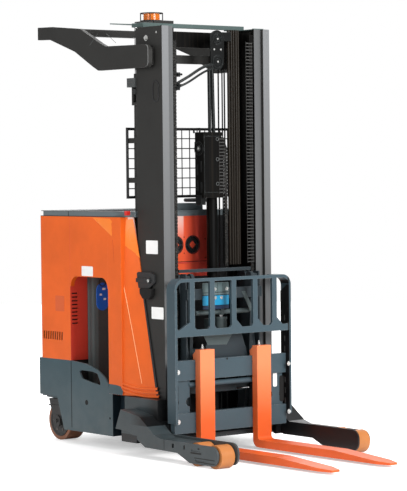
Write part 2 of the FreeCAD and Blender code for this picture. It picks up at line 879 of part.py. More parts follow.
def drive_unit():
    """The steered drive: a turning head with its motor above, and a yoke down to the axle."""
    x, y = behind("body_length - drive_inset"), "drive_side"
    half = "drive_width / 2"
    head = drum("drive_head", "z", "ring_radius", ("drive_plate - deck_thick - 40",
                                                   "drive_plate + seat_gap"), (x, y))
    rim = drum("drive_rim", "z", "ring_radius + 22", ("drive_plate + seat_gap", "drive_plate + 14"), (x, y))
    motor = drum("drive_motor", "z", "motor_radius", ("drive_plate + 14", "drive_plate + motor_height"),
                 (x, y))
    arm = block("drive_arm", (x + " - 55", x + " + 55"), ("%s + %s + run_gap" % (y, half),
                                                          "%s + %s + 30" % (y, half)),
                ("drive_radius - 55", "drive_plate - deck_thick"))
    web = block("drive_web", (x + " - 55", x + " + 55"), (y, "%s + %s + 30" % (y, half)),
                ("2 * drive_radius + run_gap", "drive_plate - deck_thick"))
    axle = drum("drive_axle_pin", "y", "drive_axle", ("%s - %s" % (y, half), "%s + %s + 30" % (y, half)),
                (x, "drive_radius"))
    node("drive_unit", fuse("drive_unit_whole", [head, rim, motor, arm, web, axle]))
    tyre = drum("drive_tyre", "y", "drive_radius", ("%s - %s" % (y, half), "%s + %s" % (y, half)),
                (x, "drive_radius"))
    bore = drum("drive_tyre_bore", "y", "drive_axle + pin_gap",
                ("%s - %s - 5" % (y, half), "%s + %s + 5" % (y, half)), (x, "drive_radius"))
    node("drive_wheel", cut("drive_wheel_cut", tyre, [bore]))


def caster():
    """The swivel caster at the right rear."""
    x, y = behind("body_length - caster_inset"), "-caster_side"
    wheel_x = "%s + caster_trail" % x
    half = "caster_width / 2"
    top = "deck_bottom - caster_plate - seat_gap"
    spread = "%s + run_gap + caster_cheek" % half
    parts = [
        drum("caster_turntable", "z", "caster_ring", ("%s - 6" % top, top), (x, y)),
        block("caster_crown", (x + " - 55", wheel_x + " + 36"),
              ("%s - (%s)" % (y, spread), "%s + %s" % (y, spread)),
              ("2 * caster_radius + run_gap", "%s - 6" % top)),
        drum("caster_axle_pin", "y", "caster_axle",
             ("%s - %s - run_gap - caster_cheek" % (y, half), "%s + %s + run_gap + caster_cheek" % (y, half)),
             (wheel_x, "caster_radius")),
    ]
    for label, span in (
        ("left", ("%s + %s + run_gap" % (y, half), "%s + %s + run_gap + caster_cheek" % (y, half))),
        ("right", ("%s - %s - run_gap - caster_cheek" % (y, half), "%s - %s - run_gap" % (y, half))),
    ):
        parts.append(plate("caster_cheek_" + label, "xz", span, [
            ("%s - 34" % wheel_x, "caster_radius - 22"),
            ("%s + 34" % wheel_x, "caster_radius - 22"),
            ("%s + 36" % wheel_x, "2 * caster_radius + run_gap"),
            ("%s - 55" % x, "2 * caster_radius + run_gap"),
        ]))
    node("caster_fork", fuse("caster_fork_whole", parts))
    tyre = drum("caster_tyre", "y", "caster_radius", ("%s - %s" % (y, half), "%s + %s" % (y, half)),
                (wheel_x, "caster_radius"))
    bore = drum("caster_bore", "y", "caster_axle + pin_gap",
                ("%s - %s - 5" % (y, half), "%s + %s + 5" % (y, half)), (wheel_x, "caster_radius"))
    node("caster_wheel", cut("caster_wheel_cut", tyre, [bore]))


MIDDLE_OUT = "(mast_half - outer_web - run_gap)"
MIDDLE_FRONT = "(mast_face - outer_flange - run_gap)"
MIDDLE_REAR = "(mast_face - mast_depth + outer_flange + run_gap)"
INNER_OUT = "(%s - middle_width / 2 - middle_web / 2 - run_gap)" % MIDDLE_OUT
INNER_IN = "(%s - inner_width)" % INNER_OUT
INNER_FRONT = "(%s - middle_flange - run_gap)" % MIDDLE_FRONT
INNER_REAR = "(%s + middle_flange + run_gap)" % MIDDLE_REAR


CHAIN_X = (behind("main_chain_back"), behind("main_chain_back - chain_thick"))


def mast_outer():
    """Two fixed columns, open inward, joined behind by cross members."""
    rear = behind("mast_depth")
    column = plate("outer_column", "xy", ("mast_bottom", "mast_top"), [
        (rear, "mast_half - outer_width"),
        (rear, "mast_half"),
        ("mast_face", "mast_half"),
        ("mast_face", "mast_half - outer_width"),
        (behind("outer_flange"), "mast_half - outer_width"),
        (behind("outer_flange"), "mast_half - outer_web"),
        (rear + " + outer_flange", "mast_half - outer_web"),
        (rear + " + outer_flange", "mast_half - outer_width"),
    ])
    guide = block("outer_pad", (MIDDLE_REAR, MIDDLE_REAR + " + middle_flange"),
                  (MIDDLE_OUT + " + seat_gap", "mast_half - outer_web"),
                  ("mast_top - pad_length - 20", "mast_top - 20"))
    side = fuse("outer_side", [column, guide])
    parts = [side, mirrored("outer_twin", side)]
    for label, low, high in (
        ("head", "tie_head_low", "tie_head_high"),
        ("second", "tie_second_low", "tie_second_high"),
        ("waist", "tie_waist_low", "tie_waist_high"),
        ("foot", "mast_bottom", "tie_foot_high"),
    ):
        parts.append(block("outer_tie_" + label, (rear + " - tie_thick", rear), ("-mast_half", "mast_half"),
                           (low, high)))
    for label, height in (("low", "screen_low + 90"), ("high", "screen_high - 90")):
        reach_x = (behind("screen_back - screen_frame - seat_gap"), rear + " + 2")
        parts.append(block("screen_arm_" + label, reach_x, ("mast_half - screen_frame", "mast_half"),
                           (height, height + " + 30")))
        parts.append(mirrored("screen_arm_twin_" + label, parts[-1]))
    grip_x, grip_y = rear + " - handle_reach", "-mast_half + handle_bar + seat_gap"
    parts.append(drum("handle_grip", "z", "handle_bar", ("handle_low", "handle_high"), (grip_x, grip_y)))
    for label, height in (("low", "handle_low + handle_bar"), ("high", "handle_high - handle_bar")):
        parts.append(drum("handle_end_" + label, "x", "handle_bar", (grip_x, rear + " + 2"),
                          (grip_y, height)))
    node("mast_outer", fuse("mast_outer_whole", parts))


def lift_cylinders():
    """The pair of main lift cylinders behind the columns; their rods rise with the middle stage."""
    x, y = behind("cylinder_back"), "cylinder_side"
    barrel = drum("lift_barrel", "z", "cylinder_radius", ("beam_top + seat_gap", "cylinder_top"), (x, y))
    bore = drum("lift_bore", "z", "rod_radius + pin_gap", ("rod_low - 40", "cylinder_top + 5"), (x, y))
    node("lift_cylinders", pair("lift_cylinder_pair", cut("lift_barrel_cut", barrel, [bore])))
    rod = drum("lift_rod", "z", "rod_radius", ("rod_low", "middle_top - seat_gap"), (x, y))
    node("lift_rods", pair("lift_rod_pair", rod))


def mast_middle():
    """The intermediate stage: two I rails and the tie across their heads."""
    inside = MIDDLE_OUT + " - middle_width"
    web_out = MIDDLE_OUT + " - middle_width / 2 + middle_web / 2"
    web_in = MIDDLE_OUT + " - middle_width / 2 - middle_web / 2"
    rail = plate("middle_rail", "xy", ("mast_bottom + 10", "middle_top"), [
        (MIDDLE_REAR, inside),
        (MIDDLE_REAR, MIDDLE_OUT),
        (MIDDLE_REAR + " + middle_flange", MIDDLE_OUT),
        (MIDDLE_REAR + " + middle_flange", web_out),
        (MIDDLE_FRONT + " - middle_flange", web_out),
        (MIDDLE_FRONT + " - middle_flange", MIDDLE_OUT),
        (MIDDLE_FRONT, MIDDLE_OUT),
        (MIDDLE_FRONT, inside),
        (MIDDLE_FRONT + " - middle_flange", inside),
        (MIDDLE_FRONT + " - middle_flange", web_in),
        (MIDDLE_REAR + " + middle_flange", web_in),
        (MIDDLE_REAR + " + middle_flange", inside),
    ])
    shoe = block("middle_shoe", (MIDDLE_REAR, MIDDLE_REAR + " + middle_flange"),
                 (MIDDLE_OUT, "mast_half - outer_web - seat_gap"),
                 ("mast_bottom + 20", "mast_bottom + 20 + pad_length"))
    guide = block("middle_pad", (INNER_REAR, INNER_REAR + " + inner_flange"),
                  (INNER_OUT + " + seat_gap", web_in),
                  ("middle_top - pad_length - 30", "middle_top - 30"))
    side = fuse("middle_side", [rail, shoe, guide])
    ear = block("middle_ear", (behind("cylinder_back + 24"), MIDDLE_REAR + " + middle_flange"),
                ("cylinder_side - 40", MIDDLE_OUT), ("middle_top", "middle_top + middle_tie"))
    tie = block("middle_head_tie", (MIDDLE_REAR + " - 18", MIDDLE_REAR + " + middle_flange"),
                ("-" + MIDDLE_OUT, MIDDLE_OUT), ("middle_top", "middle_top + middle_tie"))
    low_tie = block("middle_low_tie", (MIDDLE_REAR, MIDDLE_REAR + " + middle_flange"),
                    ("-(%s)" % inside, inside), ("mast_bottom + 10", "mast_bottom + 90"))
    chain_y = ("main_chain_in", "main_chain_in + chain_width")
    anchor = block("chain_anchor_top", (CHAIN_X[0] + " - 1", CHAIN_X[1] + " + 1"),
                   (chain_y[0] + " - 2", inside + " + 2"),
                   ("chain_anchor_low", "chain_anchor_low + chain_anchor"))
    node("mast_middle", fuse("mast_middle_whole", [
        side, mirrored("middle_twin", side), ear, mirrored("middle_ear_twin", ear), tie, low_tie,
        anchor, mirrored("chain_anchor_twin", anchor),
    ]))
    strand = block("main_chain", CHAIN_X, chain_y, ("mast_bottom + chain_anchor + seat_gap",
                                                    "chain_anchor_low - seat_gap"))
    node("lift_chains", pair("main_chain_pair", strand))


def mast_inner():
    """The inner stage: two C rails open inward, tied behind, with the free-lift cylinder on its foot."""
    rail = plate("inner_rail", "xy", ("mast_bottom", "inner_top"), [
        (INNER_REAR, INNER_IN),
        (INNER_REAR, INNER_OUT),
        (INNER_FRONT, INNER_OUT),
        (INNER_FRONT, INNER_IN),
        (INNER_FRONT + " - inner_flange", INNER_IN),
        (INNER_FRONT + " - inner_flange", INNER_OUT + " - inner_web"),
        (INNER_REAR + " + inner_flange", INNER_OUT + " - inner_web"),
        (INNER_REAR + " + inner_flange", INNER_IN),
    ])
    web_in = MIDDLE_OUT + " - middle_width / 2 - middle_web / 2"
    shoe = block("inner_shoe", (INNER_REAR, INNER_REAR + " + inner_flange"),
                 (INNER_OUT, "%s - seat_gap" % web_in), ("mast_bottom + 20", "mast_bottom + 20 + pad_length"))
    side = fuse("inner_side", [rail, shoe])
    parts = [side, mirrored("inner_twin", side)]
    for label, low, high in (("head", "inner_top - 90", "inner_top"),
                             ("low", "mast_bottom", "mast_bottom + 120")):
        parts.append(block("inner_tie_" + label, (INNER_REAR, INNER_REAR + " + inner_flange"),
                           ("-" + INNER_IN, INNER_IN), (low, high)))
    parts.append(block("inner_foot", (INNER_REAR, INNER_FRONT), ("-" + INNER_IN, INNER_IN),
                       ("mast_bottom", "mast_bottom + foot_plate")))
    lug = block("chain_lug", (INNER_FRONT + " - 2", CHAIN_X[1] + " + 1"),
                ("main_chain_in - 2", "main_chain_in + chain_width + 1"),
                ("mast_bottom", "mast_bottom + chain_anchor"))
    parts += [lug, mirrored("chain_lug_twin", lug)]
    hose_x, hose_end = behind("hose_back"), "hose_side + hose_width"
    for label, span in (("near", ("hose_side", "hose_side + hose_plate")),
                        ("far", (hose_end + " - hose_plate", hose_end))):
        parts.append(block("hose_plate_" + label, (INNER_REAR + " + inner_flange - 2",
                                                   hose_x + " + hose_wheel"), span,
                           ("hose_low", "hose_high")))
    for label, height in (("low", "hose_axle_low"), ("high", "hose_axle_high")):
        parts.append(drum("hose_wheel_" + label, "y", "hose_wheel",
                          ("hose_side + hose_plate - 1", hose_end + " - hose_plate + 1"),
                          (hose_x, height)))
    node("mast_inner", fuse("mast_inner_whole", parts))
    x = behind("free_back")
    barrel = drum("free_barrel", "z", "free_radius", ("mast_bottom + foot_plate", "free_top"), (x, "free_side"))
    bore = drum("free_bore", "z", "free_rod + pin_gap", ("free_rod_low - 40", "free_top + 5"),
                (x, "free_side"))
    node("free_lift_cylinder", cut("free_barrel_cut", barrel, [bore]))
    rod = drum("free_rod_bar", "z", "free_rod", ("free_rod_low", "head_low"), (x, "free_side"))
    middle = "(head_low + head_high) / 2"
    head = block("free_head", (x + " - free_rod - 5", x + " + free_rod + 5"),
                 ("head_plate_right", "head_plate_left"),
                 ("head_low", "head_high"))
    sheave = drum("free_sheave", "y", "sheave_radius", ("sheave_side", "sheave_side + sheave_width"),
                  (x, middle))
    axle = drum("free_sheave_axle", "y", "pin_radius", ("head_plate_left - 2",
                                                        "sheave_side + sheave_width + 5"), (x, middle))
    face = x + " + head_reach"
    cover = block("head_cover", (face, face + " + head_plate_depth"), ("head_plate_right", "head_plate_left"),
                  ("head_plate_low", "head_plate_high"))
    parts = [rod, head, sheave, axle, cover]
    for label, side in (("near", "head_plate_right"), ("far", "head_plate_left - 8")):
        parts.append(block("head_cheek_" + label, (x + " - free_rod", face + " + 2"), (side, side + " + 8"),
                           ("head_plate_low", "head_plate_high")))
    node("lift_head", fuse("lift_head_whole", parts))
    chain_y = ("sheave_side + 2", "sheave_side + 2 + chain_width")
    near = "(%s + sheave_radius + seat_gap)" % x
    node("free_chain_front", block("free_strand_front", (near, near + " + chain_thick"), chain_y,
                                   ("carriage_top + carriage_head + seat_gap", middle)))
    far = "(%s - sheave_radius - seat_gap)" % x
    node("free_chain_rear", block("free_strand_rear", (far + " - chain_thick", far), chain_y,
                                  ("mast_bottom + foot_plate + seat_gap", middle)))


ARM_DROP = "(arm_length * cos(arm_rest))"
ARM_LEAN = "(arm_length * sin(arm_rest))"
REAR_X = behind("pivot_back")
FRONT_X = "(mast_face - pivot_back + %s)" % ARM_LEAN
LOW_Z = "(pivot_height - %s)" % ARM_DROP


def lift_carriage():
    """The carriage in the inner rails: cheeks with a pivot at the top and a roller track below."""
    cheek = block("carriage_cheek", (behind("carriage_rear"), behind("carriage_front")),
                  ("cheek_in", "cheek_in + cheek_thick"), ("carriage_low", "carriage_top + carriage_head"))
    track = block("carriage_track", (REAR_X + " - roller_radius - roller_play",
                                     REAR_X + " + roller_radius + roller_play"),
                  ("cheek_in - 5", "cheek_in + cheek_thick + 5"), ("track_low", "track_high"))
    eye = drum("carriage_eye", "y", "pin_radius + pin_gap", ("cheek_in - 5", "cheek_in + cheek_thick + 5"),
               (REAR_X, "pivot_height"))
    parts = [cut("carriage_cheek_cut", cheek, [track, eye])]
    roller_x = "(%s + %s) / 2" % (INNER_REAR, INNER_FRONT)
    roller_r = "(%s - %s) / 2 - inner_flange - seat_gap" % (INNER_FRONT, INNER_REAR)
    for label, height in (("low", "guide_low"), ("high", "guide_high")):
        parts.append(drum("carriage_roller_" + label, "y", roller_r,
                          ("cheek_in + cheek_thick", INNER_OUT + " - inner_web - seat_gap"),
                          (roller_x, height)))
    side = fuse("carriage_side", parts)
    head_z = ("carriage_top", "carriage_top + carriage_head")
    bar_x = (behind("carriage_bar_back"), behind("carriage_bar_back - 12"))
    tab = block("carriage_tab_left", (behind("carriage_front + 12"), bar_x[1]),
                ("cheek_in - carriage_tab", "cheek_in"), head_z)
    bars = [
        block("carriage_bar_foot", (behind("carriage_front + 12"), behind("carriage_front")),
              ("-cheek_in", "cheek_in"),
              ("carriage_low", "carriage_low + carriage_bar")),
        block("carriage_bar_head", bar_x, ("-cheek_in", "cheek_in"), head_z),
        tab,
        mirrored("carriage_tab_right", tab),
        block("carriage_chain_lug", (behind("free_back - sheave_radius + 1"), bar_x[0] + " + 2"),
              ("sheave_side + 1", "sheave_side + sheave_width - 1"), head_z),
    ]
    node("lift_carriage", fuse("lift_carriage_whole", [side, mirrored("carriage_twin", side)] + bars))


def arm_outline(name, y_in, foot, head, lean):
    """One scissor arm, round-ended and widest at its waist, between two pivots given as (x, z)."""
    span = (y_in, "%s + arm_thick" % y_in)
    middle = ("((%s) + (%s)) / 2" % (foot[0], head[0]), "((%s) + (%s)) / 2" % (foot[1], head[1]))
    side_x, side_z = "cos(arm_rest)", "sin(arm_rest)"
    corners = []
    for spot, reach in ((foot, "arm_end"), (middle, "arm_waist"), (head, "arm_end")):
        corners.append(("(%s) + %s * %s" % (spot[0], reach, side_x),
                        "(%s) - (%s%s * %s)" % (spot[1], lean, reach, side_z)))
    for spot, reach in ((head, "arm_end"), (middle, "arm_waist"), (foot, "arm_end")):
        corners.append(("(%s) - %s * %s" % (spot[0], reach, side_x),
                        "(%s) + (%s%s * %s)" % (spot[1], lean, reach, side_z)))
    parts = [plate(name + "_blade", "xz", span, corners)]
    for label, spot in (("foot", foot), ("head", head)):
        parts.append(drum("%s_%s_end" % (name, label), "y", "arm_end", span, spot))
    return parts, span, middle


def reach_arms():
    """The two crossed arm pairs; arm A carries the centre shaft, arm B turns on it."""
    rear_top, front_low = (REAR_X, "pivot_height"), (FRONT_X, LOW_Z)
    parts, span, middle = arm_outline("arm_a", "arm_a_in", front_low, rear_top, "-")
    parts.append(drum("arm_a_pin", "y", "pin_radius", (span[1], "cheek_in + cheek_thick"), rear_top))
    parts.append(drum("arm_a_spindle", "y", "pin_radius", (span[1], "cheek_in"), front_low))
    parts.append(drum("arm_a_roller", "y", "roller_radius", ("cheek_in", "cheek_in + cheek_thick"),
                      front_low))
    side = fuse("arm_a_side", parts)
    shaft = drum("arm_a_shaft", "y", "shaft_radius", ("-" + span[0], span[0]), middle)
    node("reach_arm_a", fuse("reach_arm_a_whole", [side, mirrored("arm_a_twin", side), shaft]))
    rear_low, front_top = (REAR_X, LOW_Z), (FRONT_X, "pivot_height")
    parts, span, middle = arm_outline("arm_b", "arm_b_in", rear_low, front_top, "")
    parts.append(drum("arm_b_pin", "y", "pin_radius", (span[1], "cheek_in + cheek_thick"), front_top))
    parts.append(drum("arm_b_spindle", "y", "pin_radius", (span[1], "cheek_in"), rear_low))
    parts.append(drum("arm_b_roller", "y", "roller_radius", ("cheek_in", "cheek_in + cheek_thick"), rear_low))
    eye = drum("arm_b_eye", "y", "shaft_radius + pin_gap", ("%s - 5" % span[0], "%s + 5" % span[1]), middle)
    side = cut("arm_b_side", fuse("arm_b_solid", parts), [eye])
    tie = block("arm_b_tie", (middle[0] + " - 20", middle[0] + " + 20"), ("-arm_b_in", "arm_b_in"),
                (middle[1] + " - arm_length / 4 - 20", middle[1] + " - arm_length / 4 + 20"))
    node("reach_arm_b", fuse("reach_arm_b_whole", [side, mirrored("arm_b_twin", side), tie]))


def fork_frame():
    """The frame that the arms push forward; the fork carriage tilts on its two lugs."""
    edge = "roller_radius + roller_play + track_wall"
    cheek = block("frame_cheek", ("%s - (%s)" % (FRONT_X, edge), "%s + %s" % (FRONT_X, edge)),
                  ("cheek_in", "cheek_in + cheek_thick"), ("frame_low", "pivot_height + arm_end"))
    lug = drum("frame_lug", "y", "tilt_lug", ("cheek_in", "cheek_in + cheek_thick"),
               (ahead("tilt_forward"), "tilt_height"))
    track = block("frame_track", (FRONT_X + " - roller_radius - roller_play",
                                  FRONT_X + " + roller_radius + roller_play"),
                  ("cheek_in - 5", "cheek_in + cheek_thick + 5"), ("track_low", "track_high"))
    eye = drum("frame_eye", "y", "pin_radius + pin_gap", ("cheek_in - 5", "cheek_in + cheek_thick + 5"),
               (FRONT_X, "pivot_height"))
    pin = drum("frame_pin", "y", "tilt_pin", ("cheek_in", "tilt_cheek_in + tilt_cheek"),
               (ahead("tilt_forward"), "tilt_height"))
    side = fuse("frame_side", [cut("frame_cheek_cut", fuse("frame_cheek_lug", [cheek, lug]), [track, eye]),
                               pin])
    bars = [block("frame_bar_foot", ("%s - (%s)" % (FRONT_X, edge), "%s + %s" % (FRONT_X, edge)),
                  ("-cheek_in", "cheek_in"), ("frame_low", "frame_low + 24"))]
    front = "%s + arm_end + run_gap" % FRONT_X
    bars.append(plate("frame_plate", "yz", (front, front + " + frame_bar"), [
        ("-frame_plate_foot", "frame_waist_high - 5"),
        ("frame_plate_foot", "frame_waist_high - 5"),
        ("frame_plate_top", "frame_plate_high"),
        ("-frame_plate_top", "frame_plate_high"),
    ]))
    for label, low, high in (
        ("waist", "frame_waist_low", "frame_waist_high"),
        ("head", "frame_head_low", "frame_head_high"),
    ):
        bars.append(block("frame_bar_" + label, (front, front + " + frame_bar"),
                          ("-cheek_in - cheek_thick", "cheek_in + cheek_thick"), (low, high)))
        bars.append(block("frame_ear_%s_left" % label, ("%s + (%s)" % (FRONT_X, edge), front),
                          ("cheek_in", "cheek_in + cheek_thick"), (low, high)))
        bars.append(mirrored("frame_ear_%s_right" % label, bars[-1]))
    node("fork_frame", fuse("fork_frame_whole", [side, mirrored("frame_twin", side)] + bars))


def fork_carriage():
    """Two cross bars joined by side plates; lugs behind the upper bar hang on the tilt pins."""
    back, front = ahead("bar_back"), ahead("bar_front")
    parts = [
        block("bar_upper", (back, front), ("-bar_half", "bar_half"), ("bar_top_low", "bar_top_high")),
        block("bar_lower", (back, front), ("-bar_half", "bar_half"), ("bar_foot_low", "bar_foot_high")),
        drum("bar_tube", "y", "cross_tube", ("-side_plate_in - 5", "side_plate_in + 5"),
             (ahead("side_plate_front - 8"), "cross_tube_height")),
    ]
    lug = block("bar_lug", (ahead("tilt_forward - tilt_lug"), back),
                ("tilt_cheek_in", "tilt_cheek_in + tilt_cheek"),
                ("tilt_height - lug_half", "tilt_height + lug_half"))
    eye = drum("bar_lug_eye", "y", "tilt_pin + pin_gap", ("tilt_cheek_in - 5",
                                                          "tilt_cheek_in + tilt_cheek + 5"),
               (ahead("tilt_forward"), "tilt_height"))
    cheek = block("bar_cheek", (ahead("side_plate_back"), ahead("side_plate_front")),
                  ("side_plate_in", "bar_half - 16"),
                  ("bar_foot_low", "bar_top_high"))
    height = "(bar_foot_high + bar_top_low) / 2"
    notches = []
    for label, side in (("in", "side_plate_in"), ("out", "bar_half - 16")):
        notches.append(drum("bar_notch_" + label, "x", "cheek_notch",
                            (ahead("side_plate_back - 5"), ahead("side_plate_front + 5")),
                            (side, height + " - 30")))
    half = fuse("bar_half_side", [cut("bar_cheek_cut", cheek, notches), cut("bar_lug_cut", lug, [eye])])
    node("fork_carriage", fuse("fork_carriage_whole", parts + [half, mirrored("bar_half_twin", half)]))


def load_backrest():
    """The upright frame above the forks that steadies the load."""
    back, front = ahead("rest_front - rest_thick"), ahead("rest_front")
    post = plate("rest_post_plate", "xz", ("bar_half + seat_gap", "bar_half + rest_thick"), [
        (ahead("rest_front - rest_post"), "rest_bottom"),
        (front, "rest_bottom"),
        (front, "rest_top - rest_round"),
        (back, "rest_top - rest_round"),
        (ahead("rest_front - rest_post"), "rest_top - rest_round - 40"),
    ])
    frame = plate("rest_frame_outline", "yz", (back, front), [
        ("-bar_half - rest_thick", "rest_band_low"),
        ("bar_half + rest_thick", "rest_band_low"),
        ("bar_half + rest_thick", "rest_top"),
        ("-bar_half - rest_thick", "rest_top"),
    ], [(2, "rest_round"), (3, "rest_round")])
    inside = "bar_half + rest_thick - rest_edge"
    edges = []
    for bar in ("-rest_bar_far", "-rest_bar_near", "0 * rest_bar", "rest_bar_near", "rest_bar_far"):
        edges += ["(%s) - rest_bar / 2" % bar, "(%s) + rest_bar / 2" % bar]
    edges = ["-(%s)" % inside] + edges + [inside]
    feet = [
        ("rest_chamfer", "rest_sweep"),
        ("rest_chamfer", "rest_chamfer"),
        ("rest_chamfer", "rest_chamfer"),
        ("rest_flare", "rest_chamfer"),
        ("rest_flare", "rest_chamfer"),
        ("rest_flare", "rest_chamfer"),
    ]
    windows = []
    for index, (near, far) in enumerate(feet):
        left, right = edges[2 * index], edges[2 * index + 1]
        corner = [(2, "rest_round - rest_edge")] if index == len(feet) - 1 else []
        corner += [(3, "rest_round - rest_edge")] if index == 0 else []
        windows.append(plate("rest_window_%d" % index, "yz", (back + " - 5", front + " + 5"), [
            ("%s + %s" % (left, near), "rest_band_high"),
            ("%s - %s" % (right, far), "rest_band_high"),
            (right, "rest_band_high + min(%s; rest_flare)" % far),
            (right, "rest_top - rest_lip"),
            (left, "rest_top - rest_lip"),
            (left, "rest_band_high + %s" % near),
        ], [(number + 1, radius) for number, radius in corner]))
    hoop = plate("rest_hoop_outline", "yz", (ahead("rest_front - rest_post"), back + " + 2"), [
        ("-bar_half - rest_thick", "rest_top - rest_corner"),
        ("bar_half + rest_thick", "rest_top - rest_corner"),
        ("bar_half + rest_thick", "rest_top"),
        ("-bar_half - rest_thick", "rest_top"),
    ], [(2, "rest_round"), (3, "rest_round")])
    inner = plate("rest_hoop_inner", "yz", (ahead("rest_front - rest_post - 5"), back + " + 5"), [
        ("-(%s)" % inside, "rest_top - rest_corner - 5"),
        (inside, "rest_top - rest_corner - 5"),
        (inside, "rest_top - rest_lip"),
        ("-(%s)" % inside, "rest_top - rest_lip"),
    ], [(2, "rest_round - rest_edge"), (3, "rest_round - rest_edge")])
    middle = block("rest_hoop_middle", (ahead("rest_front - rest_post - 5"), back + " - 0.5"),
                   ("-bar_half + rest_corner", "bar_half - rest_corner"),
                   ("rest_top - rest_corner - 5", "rest_top + 5"))
    parts = [
        cut("rest_frame_cut", frame, windows),
        cut("rest_hoop", hoop, [inner, middle]),
        post,
        mirrored("rest_post_twin", post),
    ]
    node("load_backrest", fuse("load_backrest_whole", parts))


def forks():
    """Two hook-on forks: shank, bent heel and a blade that tapers to its tip."""
    back = ahead("bar_front + seat_gap")
    front = "%s + fork_thick" % back
    tip = "%s + fork_blade" % front
    y = ("fork_centre - fork_width / 2", "fork_centre + fork_width / 2")
    shank = plate("fork_profile", "xz", y, [
        (back, "fork_bottom"),
        (tip, "fork_bottom"),
        (tip, "fork_bottom + fork_tip_thick"),
        ("%s - fork_taper" % tip, "fork_bottom + fork_thick"),
        (front, "fork_bottom + fork_thick"),
        (front, "fork_top"),
        (back, "fork_top"),
    ], [(0, "fork_thick"), (4, "fork_heel")])
    hook = plate("fork_hook_top", "xz", y, [
        ("%s - fork_hook" % back, "bar_top_high + seat_gap"),
        (back, "bar_top_high + seat_gap"),
        (back, "fork_top - 10"),
        ("%s - fork_hook" % back, "fork_top - 28"),
    ])
    points = []
    for label, edge, turn in (("in", y[0], "+"), ("out", y[1], "-")):
        points.append(plate("fork_point_" + label, "xy", ("fork_bottom - 5", "fork_bottom + fork_thick"), [
            ("%s - fork_point" % tip, "%s - (%s1)" % (edge, turn)),
            ("%s + 5" % tip, "%s - (%s1)" % (edge, turn)),
            ("%s + 5" % tip, "%s %s fork_point_in" % (edge, turn)),
        ]))
    left = cut("fork_left_whole", fuse("fork_left_solid", [shank, hook]), points)
    node("fork_left", left)
    node("fork_right", mirrored("fork_right_whole", left))


def overhead_guard():
    """Two deep side arms off the columns, with cross bars over the operator."""
    arm = plate("guard_arm", "xz", ("guard_in", "guard_in + guard_thick"), [
        (behind("guard_rear"), "guard_tail_low"),
        (behind("guard_tail_front"), "guard_tail_low - 4"),
        (behind("guard_belly"), "guard_belly_low"),
        (behind("guard_knee"), "guard_knee_low"),
        (behind("guard_foot_back"), "guard_arm_low"),
        (behind("guard_arm_front"), "guard_arm_low"),
        (behind("guard_arm_front"), "guard_arm_top"),
        (behind("guard_neck"), "guard_arm_top + 8"),
        (behind("guard_shoulder"), "guard_arm_top + 29"),
        (behind("guard_brow"), "guard_brow_top"),
        (behind("guard_crown"), "guard_crown_top"),
        (behind("guard_rear"), "guard_top"),
    ], [(5, "guard_bar * 0.75"), (6, "guard_bar")])
    foot = block("guard_foot", (behind("mast_depth - 20"), behind("guard_arm_front + 16")),
                 ("mast_half + seat_gap", "guard_in"), ("guard_arm_low + 16", "guard_arm_top - 16"))
    side = fuse("guard_side", [arm, foot])
    parts = [side, mirrored("guard_twin", side)]
    for index, (spot, high) in enumerate((
        ("guard_rear - guard_bar", "guard_top"),
        ("guard_bar_second", "guard_second_top"),
        ("guard_bar_third", "guard_third_top"),
    )):
        parts.append(block("guard_cross_%d" % index, (behind(spot + " + guard_bar"), behind(spot)),
                           ("-guard_in", "guard_in"), (high + " - guard_bar", high)))
    node("overhead_guard", fuse("overhead_guard_whole", parts))


def beacon():
    """The warning lamp on a bracket behind the mast head, in a wire cage."""
    x, y = behind("beacon_back"), "beacon_side"
    back = behind("mast_depth + tie_thick + seat_gap")
    shelf = block("beacon_shelf", (behind("beacon_back + shelf_half"), back),
                  (y + " - shelf_half", y + " + shelf_half"),
                  ("guard_top - 6", "guard_top"))
    bracket = block("beacon_upright", (back + " - 8", back), (y + " - shelf_half", y + " + shelf_half"),
                    ("tie_head_low", "guard_top - 6"))
    node("beacon_bracket", fuse("beacon_bracket_whole", [shelf, bracket]))
    lamp = drum("beacon_lamp", "z", "beacon_radius", ("guard_top + seat_gap", "guard_top + beacon_height"),
                (x, y))
    node("beacon", lamp)
    hoops = []
    for label, z in (("low", "guard_top + wire_radius + seat_gap"),
                     ("high", "guard_top + cage_height - wire_radius")):
        hoop = doc.addObject("Part::Torus", "cage_hoop_" + label)
        bind(hoop, "Radius1", "cage_radius")
        bind(hoop, "Radius2", "wire_radius")
        place(hoop, x, y, z)
        hoops.append(hoop)
    for index in range(4):
        turn = "(45 + %d * 90)" % index
        stake = ("%s + cos(%s) * cage_radius" % (x, turn), "%s + sin(%s) * cage_radius" % (y, turn))
        hoops.append(drum("cage_stake_%d" % index, "z", "wire_radius",
                          ("guard_top + wire_radius", "guard_top + cage_height - wire_radius"), stake))
    node("beacon_cage", fuse("beacon_cage_whole", hoops))


def wire_screen():
    """The wire screen between operator and mast."""
    x = behind("screen_back")
    frame = "screen_frame"
    parts = []
    for label, side in (("left", "screen_half - %s" % frame), ("right", "-screen_half + %s" % frame)):
        parts.append(drum("screen_post_" + label, "z", frame, ("screen_low", "screen_high"), (x, side)))
    for label, height in (("low", "screen_low + %s" % frame), ("high", "screen_high - %s" % frame)):
        parts.append(drum("screen_rail_" + label, "y", frame, ("-screen_half + %s" % frame,
                                                               "screen_half - %s" % frame),
                          (x, height)))
    for index in range(-6, 7):
        parts.append(drum("screen_wire_%d" % (index + 6), "z", "wire_radius",
                          ("screen_low + 5", "screen_high - 5"),
                          (x, "%d * screen_pitch" % index)))
    for index in range(1, 7):
        parts.append(drum("screen_weft_%d" % index, "y", "wire_radius",
                          ("-screen_half + 5", "screen_half - 5"),
                          (x + " + wire_radius", "screen_low + %d * screen_pitch" % index)))
    node("wire_screen", weld("wire_screen_whole", parts))


